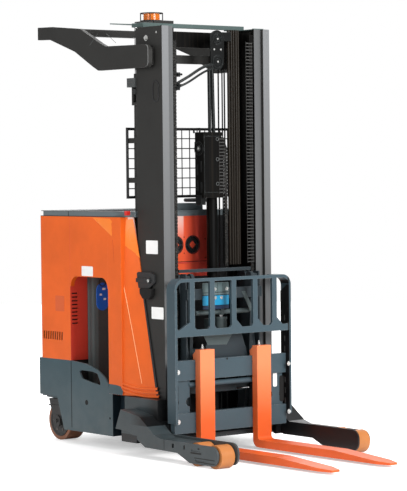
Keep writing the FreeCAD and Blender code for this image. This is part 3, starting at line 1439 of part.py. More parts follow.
def tiller():
    """The steering disc on the console, with a knob."""
    x, y = behind("tiller_back"), "tiller_side"
    top = "shell_top + cover_thick"
    post = drum("tiller_stem", "z", "tiller_post", (top + " + seat_gap", top + " + tiller_rise"), (x, y))
    disc = drum("tiller_disc", "z", "tiller_radius - tiller_rim",
                (top + " + tiller_rise - 10", top + " + tiller_rise"),
                (x, y))
    rim = doc.addObject("Part::Torus", "tiller_ring")
    bind(rim, "Radius1", "tiller_radius - tiller_rim")
    bind(rim, "Radius2", "tiller_rim")
    place(rim, x, y, top + " + tiller_rise - 5")
    knob = drum("tiller_grip", "z", "tiller_knob", (top + " + tiller_rise",
                                                    top + " + tiller_rise + tiller_knob_height"),
                (x, "%s + tiller_radius - 30" % y))
    node("steering_tiller", fuse("tiller_whole", [post, disc, rim, knob]))


chassis_frame()
rear_housing()
backrest_pad()
side_panel()
front_housing()
top_cover()
outrigger()
load_wheels()
drive_unit()
caster()
mast_outer()
lift_cylinders()
mast_middle()
mast_inner()
lift_carriage()
reach_arms()
fork_frame()
fork_carriage()
load_backrest()
forks()
overhead_guard()
beacon()
wire_screen()
tiller()
doc.recompute()

failed = [thing.Name for thing in doc.Objects if "Invalid" in thing.State or "Error" in thing.State]
if failed:
    raise RuntimeError("these failed: " + ", ".join(failed))
for name, thing in nodes.items():
    shape = thing.Shape
    if shape.isNull() or not shape.isValid() or not shape.Solids:
        raise RuntimeError("%s has no valid solid" % name)

os.makedirs("parts", exist_ok=True)
for name, thing in nodes.items():
    thing.Shape.exportStep("parts/%s.step" % name)
    print("%-24s %2d solids" % (name, len(thing.Shape.Solids)))
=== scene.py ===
import json
import math
import bmesh
import bpy
from mathutils import Matrix, Vector


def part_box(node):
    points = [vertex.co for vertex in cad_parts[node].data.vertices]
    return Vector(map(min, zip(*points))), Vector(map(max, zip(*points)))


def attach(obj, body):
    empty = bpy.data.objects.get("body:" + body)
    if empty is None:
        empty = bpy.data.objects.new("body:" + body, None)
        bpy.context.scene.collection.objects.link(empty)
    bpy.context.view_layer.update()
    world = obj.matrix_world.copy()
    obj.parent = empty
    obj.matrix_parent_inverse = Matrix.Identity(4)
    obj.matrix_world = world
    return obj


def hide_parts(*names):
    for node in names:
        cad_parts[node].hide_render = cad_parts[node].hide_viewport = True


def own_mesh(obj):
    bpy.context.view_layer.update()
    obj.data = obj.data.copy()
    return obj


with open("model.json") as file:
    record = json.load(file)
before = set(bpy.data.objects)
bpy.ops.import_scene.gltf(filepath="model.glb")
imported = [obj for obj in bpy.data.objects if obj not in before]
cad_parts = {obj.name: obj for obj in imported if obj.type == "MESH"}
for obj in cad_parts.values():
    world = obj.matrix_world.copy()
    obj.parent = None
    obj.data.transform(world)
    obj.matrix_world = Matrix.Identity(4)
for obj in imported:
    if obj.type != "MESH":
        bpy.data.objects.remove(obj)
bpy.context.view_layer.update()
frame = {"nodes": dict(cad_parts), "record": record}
scene = bpy.context.scene
scene.view_settings.view_transform = "Standard"

viewpoint = {"place": (9.7146, -7.8696, 1.6047), "azimuth": 51.474, "down": 1.990, "roll": 0.585,
             "lens": 161.33, "sensor": 36, "reach": 100}
lights = {
    "key": {"place": (6.0, 0.5, 3.4), "size": 3.0, "power": 480},
    "side": {"place": (0.0, -6.5, 3.4), "size": 3.0, "power": 150},
    "fill": {"place": (-5.0, 4.0, 4.5), "size": 4.0, "power": 140},
    "top": {"place": (0.0, 0.0, 6.5), "size": 4.0, "power": 150},
}
aim = Vector((0, 0, 1.0))
sky = {"lit": 0.5, "seen": 1.0}
ground = {"radius": 14, "color": (0.9, 0.9, 0.9, 1), "rough": 0.7, "shine": 0.2,
          "fade": (0.9, 2.4), "glow": (0.42, 1.0)}


def addNode(tree, kind, links=None, **settings):  # links: input name to a socket or a fixed number
    node = tree.nodes.new(kind)
    for name, setting in settings.items():
        setattr(node, name, setting)
    for name, origin in (links or {}).items():
        if isinstance(origin, bpy.types.NodeSocket):
            tree.links.new(origin, node.inputs[name])
        else:
            node.inputs[name].default_value = origin
    return node


def mathNode(tree, operation, first, second=0.0, clamp=False):
    node = addNode(tree, "ShaderNodeMath", operation=operation, use_clamp=clamp)
    for index, origin in enumerate((first, second)):
        if isinstance(origin, bpy.types.NodeSocket):
            tree.links.new(origin, node.inputs[index])
        else:
            node.inputs[index].default_value = origin
    return node.outputs[0]


def ramp(tree, value, low, high, start=0.0, end=1.0):
    node = addNode(tree, "ShaderNodeMapRange", {
        "Value": value, "From Min": low, "From Max": high, "To Min": start, "To Max": end})
    return node.outputs["Result"]


def makeCamera():
    data = bpy.data.cameras.new("viewCamera")
    data.lens = viewpoint["lens"]
    data.sensor_width = viewpoint["sensor"]
    data.clip_end = viewpoint["reach"]
    camera = bpy.data.objects.new("viewCamera", data)
    turn = (Matrix.Rotation(math.radians(viewpoint["azimuth"]), 4, "Z")
            @ Matrix.Rotation(math.radians(90 - viewpoint["down"]), 4, "X")
            @ Matrix.Rotation(-math.radians(viewpoint["roll"]), 4, "Z"))
    camera.matrix_world = Matrix.Translation(viewpoint["place"]) @ turn
    scene.collection.objects.link(camera)
    scene.camera = camera


def makeLights():
    for name, spec in lights.items():
        data = bpy.data.lights.new(name + "Light", "AREA")
        data.size = spec["size"]
        data.energy = spec["power"]
        lamp = bpy.data.objects.new(name + "Light", data)
        lamp.location = spec["place"]
        lamp.rotation_euler = (aim - lamp.location).to_track_quat("-Z", "Y").to_euler()
        scene.collection.objects.link(lamp)
    world = bpy.data.worlds.new("softSky")
    world.use_nodes = True
    tree = world.node_tree
    tree.nodes.clear()
    rays = addNode(tree, "ShaderNodeLightPath").outputs
    seen = mathNode(tree, "MAXIMUM", rays["Is Camera Ray"], rays["Is Transmission Ray"])
    strength = ramp(tree, seen, 0.0, 1.0, sky["lit"], sky["seen"])
    glow = addNode(tree, "ShaderNodeBackground", {"Color": (1, 1, 1, 1), "Strength": strength})
    addNode(tree, "ShaderNodeOutputWorld", {"Surface": glow.outputs[0]})
    scene.world = world


def makeFloor():
    mesh = bpy.data.meshes.new("floor")
    bm = bmesh.new()
    bmesh.ops.create_circle(bm, cap_ends=True, segments=64, radius=ground["radius"])
    bm.to_mesh(mesh)
    bm.free()
    floor = bpy.data.objects.new("floor", mesh)
    scene.collection.objects.link(floor)
    material = bpy.data.materials.new("paleFloor")
    material.use_nodes = True
    tree = material.node_tree
    shader = tree.nodes["Principled BSDF"]
    shader.inputs["Base Color"].default_value = ground["color"]
    shader.inputs["Roughness"].default_value = ground["rough"]
    shader.inputs["Specular IOR Level"].default_value = ground["shine"]
    shader.inputs["Emission Color"].default_value = (1, 1, 1, 1)
    rays = addNode(tree, "ShaderNodeLightPath")
    where = addNode(tree, "ShaderNodeTexCoord")
    away = addNode(tree, "ShaderNodeVectorMath", operation="LENGTH")
    tree.links.new(where.outputs["Object"], away.inputs[0])
    glow = ramp(tree, away.outputs["Value"], *ground["fade"], *ground["glow"])  # fades into the white
    lift = mathNode(tree, "MULTIPLY", rays.outputs["Is Camera Ray"], glow)
    tree.links.new(lift, shader.inputs["Emission Strength"])
    mesh.materials.append(material)


makeCamera()
makeLights()
makeFloor()
print("stage set")

grain = {"fine": 220.0, "fineDetail": 2.0, "blotch": 3.5, "blotchDetail": 5.0, "blotchRough": 0.6,
         "tone": (0.35, 0.65), "shade": 0.86, "depth": 0.06, "height": 0.0008}
# the last wear entry sets how far edges turn to their painted highlight colour
wear = {"width": 0.003, "bend": (0.01, 0.12), "speck": 55.0, "detail": 4.0, "rough": 0.65,
        "chips": (0.48, 0.66), "highlight": 0.45}
dust = {"amount": 0.08, "top": 0.55, "upward": (0.5, 1.0), "share": 0.7, "cloud": 9.0, "detail": 6.0,
        "rough": 0.7, "color": (0.26, 0.25, 0.23)}
streaks = {"stretch": (110, 110, 1.3), "detail": 3.0, "lines": (0.5, 0.72)}  # long marks along the rails
gloss = {"tone": (0.3, 0.7), "less": 0.05, "more": 0.07, "shine": 0.35}


def newGroup(name, inputs, outputs):
    group = bpy.data.node_groups.new(name, "ShaderNodeTree")
    for label, start in inputs:
        socket = group.interface.new_socket(label, in_out="INPUT", socket_type="NodeSocketFloat")
        socket.default_value = start
    for label in outputs:
        group.interface.new_socket(label, in_out="OUTPUT", socket_type="NodeSocketFloat")
    source = group.nodes.new("NodeGroupInput")
    sink = group.nodes.new("NodeGroupOutput")
    return group, source, sink


def noiseNode(tree, where, scale, detail, rough=0.5):
    node = addNode(tree, "ShaderNodeTexNoise", {
        "Vector": where, "Scale": scale, "Detail": detail, "Roughness": rough})
    return node.outputs["Fac"]


def makeWearGroup():
    group, source, sink = newGroup("edgeWear", [("Amount", 0.5)], ["Mask", "Edge"])
    rounded = addNode(group, "ShaderNodeBevel", {"Radius": wear["width"]}, samples=4)
    surface = addNode(group, "ShaderNodeNewGeometry")
    same = addNode(group, "ShaderNodeVectorMath", operation="DOT_PRODUCT")
    group.links.new(rounded.outputs[0], same.inputs[0])
    group.links.new(surface.outputs["Normal"], same.inputs[1])
    edge = ramp(group, mathNode(group, "SUBTRACT", 1.0, same.outputs["Value"]), *wear["bend"])
    where = addNode(group, "ShaderNodeTexCoord").outputs["Object"]
    speck = noiseNode(group, where, wear["speck"], wear["detail"], wear["rough"])
    worn = mathNode(group, "MULTIPLY", edge, ramp(group, speck, *wear["chips"]))
    group.links.new(mathNode(group, "MULTIPLY", worn, source.outputs["Amount"], True), sink.inputs["Mask"])
    group.links.new(edge, sink.inputs["Edge"])
    return group


def makeGrainGroup():
    group, source, sink = newGroup("paintGrain", [("Scale", grain["fine"])], ["Height", "Tone"])
    where = addNode(group, "ShaderNodeTexCoord").outputs["Object"]
    fine = noiseNode(group, where, source.outputs["Scale"], grain["fineDetail"])
    broad = noiseNode(group, where, grain["blotch"], grain["blotchDetail"], grain["blotchRough"])
    group.links.new(fine, sink.inputs["Height"])
    group.links.new(broad, sink.inputs["Tone"])
    return group


def makeDustGroup():
    group, source, sink = newGroup("settledDust", [("Amount", dust["amount"])], ["Mask"])
    surface = addNode(group, "ShaderNodeNewGeometry")
    faces = addNode(group, "ShaderNodeSeparateXYZ", {"Vector": surface.outputs["Normal"]})
    upward = ramp(group, faces.outputs["Z"], *dust["upward"])
    where = addNode(group, "ShaderNodeTexCoord").outputs["Object"]
    spots = addNode(group, "ShaderNodeSeparateXYZ", {"Vector": where})
    low = ramp(group, spots.outputs["Z"], dust["top"], 0.0)
    cloud = noiseNode(group, where, dust["cloud"], dust["detail"], dust["rough"])
    settled = mathNode(group, "MAXIMUM", mathNode(group, "MULTIPLY", upward, dust["share"]), low)
    patchy = mathNode(group, "MULTIPLY", settled, cloud)
    group.links.new(mathNode(group, "MULTIPLY", patchy, source.outputs["Amount"], True), sink.inputs["Mask"])
    return group


def makeStreakGroup():
    group, source, sink = newGroup("railStreaks", [("Amount", 0.5)], ["Mask"])
    where = addNode(group, "ShaderNodeTexCoord").outputs["Object"]
    thin = addNode(group, "ShaderNodeMapping", {"Vector": where, "Scale": streaks["stretch"]})
    lines = noiseNode(group, thin.outputs[0], 1.0, streaks["detail"])
    marks = ramp(group, lines, *streaks["lines"])
    group.links.new(mathNode(group, "MULTIPLY", marks, source.outputs["Amount"], True), sink.inputs["Mask"])
    return group


wearGroup = makeWearGroup()
grainGroup = makeGrainGroup()
dustGroup = makeDustGroup()
streakGroup = makeStreakGroup()
materials = {}


def groupNode(tree, group, **values):
    return addNode(tree, "ShaderNodeGroup", values, node_tree=group).outputs


def blendColor(tree, mask, under, over):
    node = addNode(tree, "ShaderNodeMix", {"Factor": mask}, data_type="RGBA")
    for name, origin in (("A", under), ("B", over)):
        socket = [item for item in node.inputs if item.name == name and item.type == "RGBA"][0]
        if isinstance(origin, bpy.types.NodeSocket):
            tree.links.new(origin, socket)
        else:
            socket.default_value = (*origin, 1)
    return [item for item in node.outputs if item.type == "RGBA"][0]


def look(color, rough, wear, bare, **more):  # more: lit (a painted highlight colour along edges), dust, shine, grain, depth, metal, streaks
    return {"color": color, "rough": rough, "wear": wear, "bare": bare, **more}


# lit: a painted highlight colour that edges turn to
finishes = {
    "orangePaint": look((0.76, 0.114, 0.005), 0.42, 0.35, (0.30, 0.05, 0.02), lit=(0.95, 0.25, 0.07)),
    # the next colour is a painted highlight, for the reflection patch on the wing
    "orangeHighlight": look((0.90, 0.215, 0.024), 0.30, 0.2, (0.5, 0.1, 0.03), lit=(1.0, 0.36, 0.12)),
    # the next colour is a painted highlight, for the bright line on the wing
    "orangeGlint": look((1.0, 0.42, 0.18), 0.3, 0.1, (0.6, 0.2, 0.06)),
    # the next colour is painted shade, for the dark line in the wing's crease
    "orangeCreaseShade": look((0.52, 0.060, 0.008), 0.45, 0.1, (0.3, 0.04, 0.01)),
    "skirtPaint": look((0.034, 0.068, 0.084), 0.45, 0.7, (0.22, 0.24, 0.25), dust=0.4,
                       lit=(0.12, 0.16, 0.18), shine=0.3),
    "legPaint": look((0.019, 0.032, 0.038), 0.34, 0.7, (0.16, 0.18, 0.19), dust=0.2,
                     lit=(0.10, 0.12, 0.13), shine=0.42),
    "mastPaint": look((0.027, 0.0265, 0.025), 0.40, 0.5, (0.25, 0.25, 0.25), shine=0.2,
                      lit=(0.11, 0.11, 0.11)),
    "railSteel": look((0.0025, 0.0024, 0.0023), 0.40, 0.3, (0.06, 0.05, 0.045), shine=0.07,
                      lit=(0.030, 0.028, 0.025), streak=0.5, streaks=(0.020, 0.016, 0.012)),
    "carriagePaint": look((0.043, 0.071, 0.088), 0.40, 0.8, (0.33, 0.35, 0.36), lit=(0.15, 0.19, 0.21),
                          dust=0.12, shine=0.3),
    "frameInside": look((0.022, 0.031, 0.037), 0.42, 0.6, (0.25, 0.26, 0.27), lit=(0.10, 0.13, 0.14),
                        dust=0.15, shine=0.25),
    "forkPaint": look((0.72, 0.104, 0.014), 0.38, 0.7, (0.35, 0.20, 0.14), dust=0.03,
                      lit=(1.0, 0.36, 0.14), shine=0.3),
    "coverPlastic": look((0.115, 0.140, 0.150), 0.55, 0.25, (0.2, 0.22, 0.23), grain=600.0, depth=0.25),
    "blackPlastic": look((0.020, 0.021, 0.022), 0.5, 0.25, (0.09, 0.09, 0.09), grain=600.0, depth=0.25),
    "padVinyl": look((0.060, 0.072, 0.072), 0.5, 0.15, (0.12, 0.12, 0.12), grain=420.0, depth=0.5),
    "matRubber": look((0.018, 0.018, 0.018), 0.8, 0.3, (0.06, 0.06, 0.06), dust=0.8),
    "batteryCase": look((0.03, 0.03, 0.032), 0.5, 0.5, (0.2, 0.2, 0.2)),
    "loadTread": look((0.50, 0.165, 0.028), 0.38, 0.5, (0.10, 0.045, 0.02), dust=0.2),
    "wornTread": look((0.26, 0.075, 0.018), 0.42, 0.5, (0.10, 0.045, 0.02), dust=0.4),
    "webGrey": look((0.060, 0.080, 0.082), 0.36, 0.6, (0.3, 0.3, 0.3), shine=0.3),
    "ribSteel": look((0.050, 0.050, 0.048), 0.30, 0.3, (0.3, 0.3, 0.3), metal=0.3),
    "navyPlate": look((0.006, 0.018, 0.050), 0.4, 0.3, (0.1, 0.15, 0.2)),
    "dullSteel": look((0.075, 0.080, 0.080), 0.35, 0.4, (0.2, 0.2, 0.2)),
    # the next colour is a painted reflection on the mast's front flanges, also used for the cover's top edge
    "flangeFace": look((0.105, 0.108, 0.110), 0.42, 0.4, (0.3, 0.3, 0.3)),
    # the next colour is painted shade: the orange paint as it looks in shade
    "innerRed": look((0.62, 0.052, 0.031), 0.42, 0.1, (0.3, 0.04, 0.03)),
    "hubSteel": look((0.10, 0.09, 0.085), 0.45, 0.8, (0.4, 0.38, 0.36), metal=0.6, dust=0.5),
    "darkSteel": look((0.012, 0.012, 0.013), 0.45, 0.5, (0.12, 0.12, 0.12), dust=0.2),
    "brightRod": look((0.72, 0.72, 0.72), 0.12, 0.0, (0.5, 0.5, 0.5), metal=1.0),
    "boltZinc": look((0.78, 0.78, 0.76), 0.25, 0.3, (0.4, 0.4, 0.4), metal=0.85),
    "chainSteel": look((0.030, 0.030, 0.029), 0.28, 0.6, (0.22, 0.2, 0.18), metal=0.6),
    "hoseRubber": look((0.008, 0.010, 0.010), 0.36, 0.2, (0.05, 0.055, 0.055), grain=900.0, depth=0.3,
                       shine=0.25),
    "hoseBrown": look((0.010, 0.0075, 0.005), 0.36, 0.3, (0.05, 0.04, 0.03), grain=900.0, depth=0.3,
                      streak=0.6, streaks=(0.024, 0.019, 0.013), shine=0.14),
    "greasySteel": look((0.0035, 0.004, 0.004), 0.28, 0.6, (0.12, 0.13, 0.13), lit=(0.05, 0.06, 0.06),
                        shine=0.2),
    # the next colour is a painted highlight along the arm's rounded end
    "paleEdge": look((0.20, 0.20, 0.20), 0.4, 0.2, (0.3, 0.3, 0.3)),
    "tieGrey": look((0.080, 0.112, 0.108), 0.42, 0.6, (0.3, 0.3, 0.3), shine=0.25),
    "cyanPlate": look((0.012, 0.24, 0.44), 0.35, 0.2, (0.3, 0.5, 0.6)),
    "greyPlate": look((0.10, 0.145, 0.15), 0.4, 0.3, (0.4, 0.4, 0.4)),
    "blankLabel": look((0.90, 0.90, 0.89), 0.35, 0.1, (0.5, 0.5, 0.5)),
    "blueLabel": look((0.012, 0.130, 0.62), 0.35, 0.2, (0.3, 0.4, 0.6)),
    "fadedLabel": look((0.62, 0.10, 0.02), 0.35, 0.1, (0.5, 0.2, 0.1)),
    "redButton": look((0.55, 0.02, 0.015), 0.3, 0.1, (0.5, 0.1, 0.1)),
    "shadowGap": look((0.004, 0.004, 0.004), 0.8, 0.0, (0.02, 0.02, 0.02)),
    "amberLens": look((0.85, 0.21, 0.008), 0.16, 0.0, (0.6, 0.2, 0.02), through=0.35),
}


def makeFinish(name, spec):
    material = bpy.data.materials.new(name)
    material.use_nodes = True
    tree = material.node_tree
    shader = tree.nodes["Principled BSDF"]
    paint = groupNode(tree, grainGroup, Scale=spec.get("grain", grain["fine"]))
    worn = groupNode(tree, wearGroup, Amount=spec["wear"])
    dusty = groupNode(tree, dustGroup, Amount=spec.get("dust", dust["amount"]))
    shade = tuple(channel * grain["shade"] for channel in spec["color"])
    color = blendColor(tree, ramp(tree, paint["Tone"], *grain["tone"]), spec["color"], shade)
    if "streak" in spec:
        marks = groupNode(tree, streakGroup, Amount=spec["streak"])["Mask"]
        color = blendColor(tree, marks, color, spec["streaks"])
    if "lit" in spec:  # painted highlight: edges turn towards the lit colour
        color = blendColor(tree, mathNode(tree, "MULTIPLY", worn["Edge"], wear["highlight"]), color, spec["lit"])
    color = blendColor(tree, worn["Mask"], color, spec["bare"])
    color = blendColor(tree, dusty["Mask"], color, dust["color"])
    tree.links.new(color, shader.inputs["Base Color"])
    rough = spec["rough"]
    rough = ramp(tree, paint["Tone"], *gloss["tone"], rough - gloss["less"], rough + gloss["more"])
    tree.links.new(rough, shader.inputs["Roughness"])
    shader.inputs["Metallic"].default_value = spec.get("metal", 0.0)
    shader.inputs["Specular IOR Level"].default_value = spec.get("shine", gloss["shine"])
    shader.inputs["Transmission Weight"].default_value = spec.get("through", 0.0)
    depth = spec.get("depth", grain["depth"])
    bump = addNode(tree, "ShaderNodeBump", {
        "Height": paint["Height"], "Strength": depth, "Distance": grain["height"]})
    tree.links.new(bump.outputs["Normal"], shader.inputs["Normal"])
    materials[name] = material
    return tree, shader, color


for finishName, finishSpec in finishes.items():
    makeFinish(finishName, finishSpec)

fans = {"y": (-0.104, 0.018), "z": 1.168, "inner": 0.017, "middle": (0.027, 0.033), "outer": 0.050,
        "face": -0.294}
housing = {"front": -0.34, "bottom": 0.985, "side": 0.40, "bay": -0.8555, "shadedSide": (-0.22, 0.06), "far": 0.145,
           "sheen": (-0.042, -0.052), "sheenHeight": (1.19, 1.33), "sheenMost": 0.7,
           "sheenColor": (0.72, 0.60, 0.55), "grille": (0.0215, 0.0485)}
# where the painted reflection on the front flanges lies, and the heights of the painted shade at the column's
# foot
flange = {"outer": -0.0335, "middle": -0.0575, "width": 0.285, "rise": (1.0, 2.3),
          "highlight": (0.17, 0.175, 0.18), "foot": (0.55, 0.25), "top": 2.4075}
leg = {"block": (-0.09, 0.122), "shade": (-0.15, -0.05), "low": 0.18}
# painted highlight: the fork shanks turn paler towards the top
shankHighlight = {"front": 0.13, "rise": (0.20, 0.50), "most": 0.75, "color": (0.84, 0.25, 0.11)}
# painted shade on the skirt's front face
skirtFrontShade = {"front": -0.4455, "color": (0.005, 0.012, 0.018)}
upright = {"inner": 0.400, "back": 0.4105}
# near-black painted shade
paintedShade = (0.004, 0.0045, 0.005)
innerRed, darkSteel = finishes["innerRed"]["color"], finishes["darkSteel"]["color"]


def over(tree, value, limit):
    return mathNode(tree, "GREATER_THAN", value, limit)


def under(tree, value, limit):
    return mathNode(tree, "LESS_THAN", value, limit)


def both(tree, *masks):
    joined = masks[0]
    for mask in masks[1:]:
        joined = mathNode(tree, "MULTIPLY", joined, mask)
    return joined


def housingMasks(tree, spot):
    ahead = over(tree, spot["X"], housing["front"])
    beside = under(tree, mathNode(tree, "ABSOLUTE", spot["Y"]), housing["side"])
    # painted shade: above its bottom edge the front panel turns to shaded orange across y
    shadedSide = both(tree, ahead, beside, over(tree, spot["Z"], housing["bottom"]),
               ramp(tree, spot["Y"], *housing["shadedSide"]))
    edge = ramp(tree, spot["Y"], *housing["sheen"])  # painted highlight: a pale band beside the near rail
    fade = ramp(tree, spot["Z"], *housing["sheenHeight"], 0.0, housing["sheenMost"])
    masks = [(shadedSide, innerRed), (both(tree, ahead, edge, fade), housing["sheenColor"]),
             # below its bottom edge and past its far side the panel takes the dark steel colour
             (both(tree, ahead, beside, under(tree, spot["Z"], housing["bottom"])), darkSteel),
             (both(tree, ahead, over(tree, spot["Y"], housing["far"])), darkSteel)]
    rise = mathNode(tree, "SUBTRACT", spot["Z"], fans["z"])
    for y in fans["y"]:  # the grilles over the two fans
        across = mathNode(tree, "SUBTRACT", spot["Y"], y)
        square = mathNode(tree, "ADD", both(tree, across, across), both(tree, rise, rise))
        reach = mathNode(tree, "SQRT", square)
        ring = both(tree, over(tree, reach, housing["grille"][0]), under(tree, reach, housing["grille"][1]))
        masks.append((both(tree, ahead, ring), darkSteel))
    return masks


def rearMasks(tree, spot):  # painted shade: the wall that faces the bay is shaded orange
    return [(over(tree, spot["X"], housing["bay"]), innerRed)]


def columnMasks(tree, spot):  # painted reflection on the front flanges, paler with height, and painted shade at the foot between the legs, darker downwards
    rise = ramp(tree, spot["Z"], *flange["rise"])
    highlight = blendColor(tree, rise, finishes["flangeFace"]["color"], flange["highlight"])
    return [(over(tree, spot["X"], flange["outer"]), highlight),
            (ramp(tree, spot["Z"], *flange["foot"]), darkSteel)]


def middleMasks(tree, spot):  # painted reflection on the front flanges, and the painted cross member on top
    wide = over(tree, mathNode(tree, "ABSOLUTE", spot["Y"]), flange["width"])
    return [(both(tree, over(tree, spot["X"], flange["middle"]), wide), finishes["flangeFace"]["color"]),
            (over(tree, spot["Z"], flange["top"]), finishes["tieGrey"]["color"])]


def legMasks(tree, spot):  # painted shade on the far leg, under the root and on the side that lies in shadow
    block = both(tree, under(tree, spot["X"], leg["block"][0]), under(tree, spot["Z"], leg["block"][1]))
    shade = both(tree, ramp(tree, spot["X"], *leg["shade"]), over(tree, spot["Z"], leg["low"]))
    return [(over(tree, spot["Y"], 0.0), paintedShade), (block, paintedShade), (shade, paintedShade)]


def skirtMasks(tree, spot):
    # painted shade: the skirt's front face is dark
    return [(over(tree, spot["X"], skirtFrontShade["front"]), skirtFrontShade["color"])]


def restMasks(tree, spot):
    # painted shade on the inside face of the far upright
    inner, back = over(tree, spot["Y"], upright["inner"]), under(tree, spot["Y"], upright["back"])
    return [(both(tree, inner, back), paintedShade)]


def forkMasks(tree, spot):
    # painted highlight: the shanks turn paler towards the top
    rise = ramp(tree, spot["Z"], *shankHighlight["rise"], 0.0, shankHighlight["most"])
    return [(both(tree, under(tree, spot["X"], shankHighlight["front"]), rise), shankHighlight["color"])]


paints = {
    "housingPaint": ("orangePaint", housingMasks), "rearPaint": ("orangePaint", rearMasks),
    "columnPaint": ("mastPaint", columnMasks), "middlePaint": ("railSteel", middleMasks),
    "legsPaint": ("legPaint", legMasks), "chassisPaint": ("skirtPaint", skirtMasks),
    "restPaint": ("carriagePaint", restMasks), "forksPaint": ("forkPaint", forkMasks),
}


def makePaint(name, base, listMasks):  # a finish with other colours in places that x, y, z give
    tree, shader, color = makeFinish(name, finishes[base])
    where = addNode(tree, "ShaderNodeTexCoord").outputs["Object"]
    spot = addNode(tree, "ShaderNodeSeparateXYZ", {"Vector": where}).outputs
    for mask, other in listMasks(tree, spot):
        color = blendColor(tree, mask, color, other)
    tree.links.new(color, shader.inputs["Base Color"])


for paintName, paintSpec in paints.items():
    makePaint(paintName, *paintSpec)

slotFinish = {
    "orange_paint": "orangePaint", "skirt_paint": "skirtPaint", "leg_paint": "legPaint",
    "mast_paint": "mastPaint", "rail_steel": "railSteel", "carriage_paint": "carriagePaint",
    "fork_paint": "forkPaint", "cover_plastic": "coverPlastic", "pad_vinyl": "padVinyl",
    "mat_rubber": "matRubber", "battery_case": "batteryCase", "load_tread": "loadTread",
    "dark_steel": "darkSteel", "bright_rod": "brightRod", "amber_lens": "amberLens",
}
ownFinish = {
    "fork_left": "forksPaint", "fork_right": "forksPaint", "leg_root_left": "legsPaint",
    "leg_root_right": "legsPaint", "outrigger_left": "legsPaint", "outrigger_right": "legsPaint",
    "chassis_frame": "chassisPaint", "load_backrest": "restPaint", "front_housing": "housingPaint",
    "rear_housing": "rearPaint", "mast_outer": "columnPaint", "mast_middle": "middlePaint",
    "caster_wheel": "wornTread", "drive_wheel": "wornTread", "free_chain_rear": "chainSteel",
    "lift_carriage": "frameInside", "reach_arm_a": "frameInside", "reach_arm_b": "frameInside",
    "fork_frame": "frameInside", "steering_tiller": "blackPlastic", "console_hood": "coverPlastic",
}


def dressNodes():
    for part in frame["record"]["subparts"]:
        thing = frame["nodes"][part["node"]]
        finish = materials[ownFinish.get(part["node"], slotFinish[part["material_slot"]])]
        for slot in thing.material_slots:
            slot.material = finish


dressNodes()
print("nodes dressed")

turns = {"x": Matrix.Rotation(math.radians(90), 3, "Y"), "y": Matrix.Rotation(math.radians(-90), 3, "X"),
         "z": Matrix.Identity(3)}
soft = {"segments": 2, "angle": math.radians(40)}
bolt = {"washer": 1.5, "sheet": 0.0015, "overlap": 0.001, "head": 0.8}
tube = {"round": 3, "steps": 8, "order": 3}


def placeOn(axis, depth, pair):  # a point from its depth along the axis and its other two coordinates
    spot = list(pair)
    spot.insert("xyz".index(axis), depth)
    return spot


def addBox(bm, low, high):
    made = bmesh.ops.create_cube(bm, size=1)["verts"]
    bmesh.ops.scale(bm, vec=[b - a for a, b in zip(low, high)], verts=made)
    bmesh.ops.translate(bm, vec=[(a + b) / 2 for a, b in zip(low, high)], verts=made)


def addDrum(bm, axis, radius, span, centre, segments=24):
    made = bmesh.ops.create_cone(
        bm, cap_ends=True, segments=segments, radius1=radius, radius2=radius,
        depth=span[1] - span[0])["verts"]
    bmesh.ops.rotate(bm, cent=(0, 0, 0), matrix=turns[axis], verts=made)
    bmesh.ops.translate(bm, vec=placeOn(axis, (span[0] + span[1]) / 2, centre), verts=made)
    return made


def addPlate(bm, axis, span, corners):  # an outline in the other two coordinates, thick along the axis
    near = [bm.verts.new(placeOn(axis, span[0], corner)) for corner in corners]
    far = [bm.verts.new(placeOn(axis, span[1], corner)) for corner in corners]
    bm.faces.new(near)
    bm.faces.new(reversed(far))
    for index in range(len(corners)):
        after = (index + 1) % len(corners)
        bm.faces.new((near[after], near[index], far[index], far[after]))


def addRing(bm, axis, outer, inner, span, centre, segments=40):
    loops = []
    for step in range(segments):
        angle = math.tau * step / segments
        loop = []
        for radius, depth in ((inner, span[0]), (outer, span[0]), (outer, span[1]), (inner, span[1])):
            pair = (centre[0] + radius * math.cos(angle), centre[1] + radius * math.sin(angle))
            loop.append(bm.verts.new(placeOn(axis, depth, pair)))
        loops.append(loop)
    for step in range(segments):
        here, there = loops[step], loops[(step + 1) % segments]
        for index in range(4):
            after = (index + 1) % 4
            bm.faces.new((here[index], here[after], there[after], there[index]))


def addBolt(bm, axis, face, centre, radius=0.008, way=1):  # hex head on a washer, standing on a face
    addDrum(bm, axis, radius * bolt["washer"], skin(face, way, 0, bolt["sheet"]), centre, 20)
    addDrum(bm, axis, radius, skin(face, way, -bolt["overlap"], radius * bolt["head"]), centre, 6)


def skin(face, way, sunk, proud):  # a span from just inside a face to just outside it
    return sorted((face - way * sunk, face + way * proud))


def arc(centre, radius, start, end, steps):  # points on a circle, the angles in degrees
    points = []
    for step in range(steps + 1):
        angle = math.radians(start + (end - start) * step / steps)
        points.append((centre[0] + radius * math.cos(angle), centre[1] + radius * math.sin(angle)))
    return points


def circle(centre, radius, steps):
    return arc(centre, radius, 0, 360, steps)[:-1]


def slotLine(middle, low, high, radius, steps, foot=None):  # an upright slot's outline, round at both ends
    return arc((middle, high), radius, 0, 180, steps) + arc((middle, low), foot or radius, 180, 360, steps)


def roundBox(low, high, radius, steps=4):  # a rectangle's outline with round corners
    left, right, foot, top = low[0] + radius, high[0] - radius, low[1] + radius, high[1] - radius
    points = []
    for quarter, centre in enumerate(((right, top), (left, top), (left, foot), (right, foot))):
        points += arc(centre, radius, 90 * quarter, 90 * quarter + 90, steps)
    return points


def slanted(first, last, wide):  # a leaning bar's outline, wide along x
    return [first, last, (last[0] + wide, last[1]), (first[0] + wide, first[1])]


def joinPiece(name, data, body):
    piece = bpy.data.objects.new(name, data)
    scene.collection.objects.link(piece)
    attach(piece, body)
    return piece


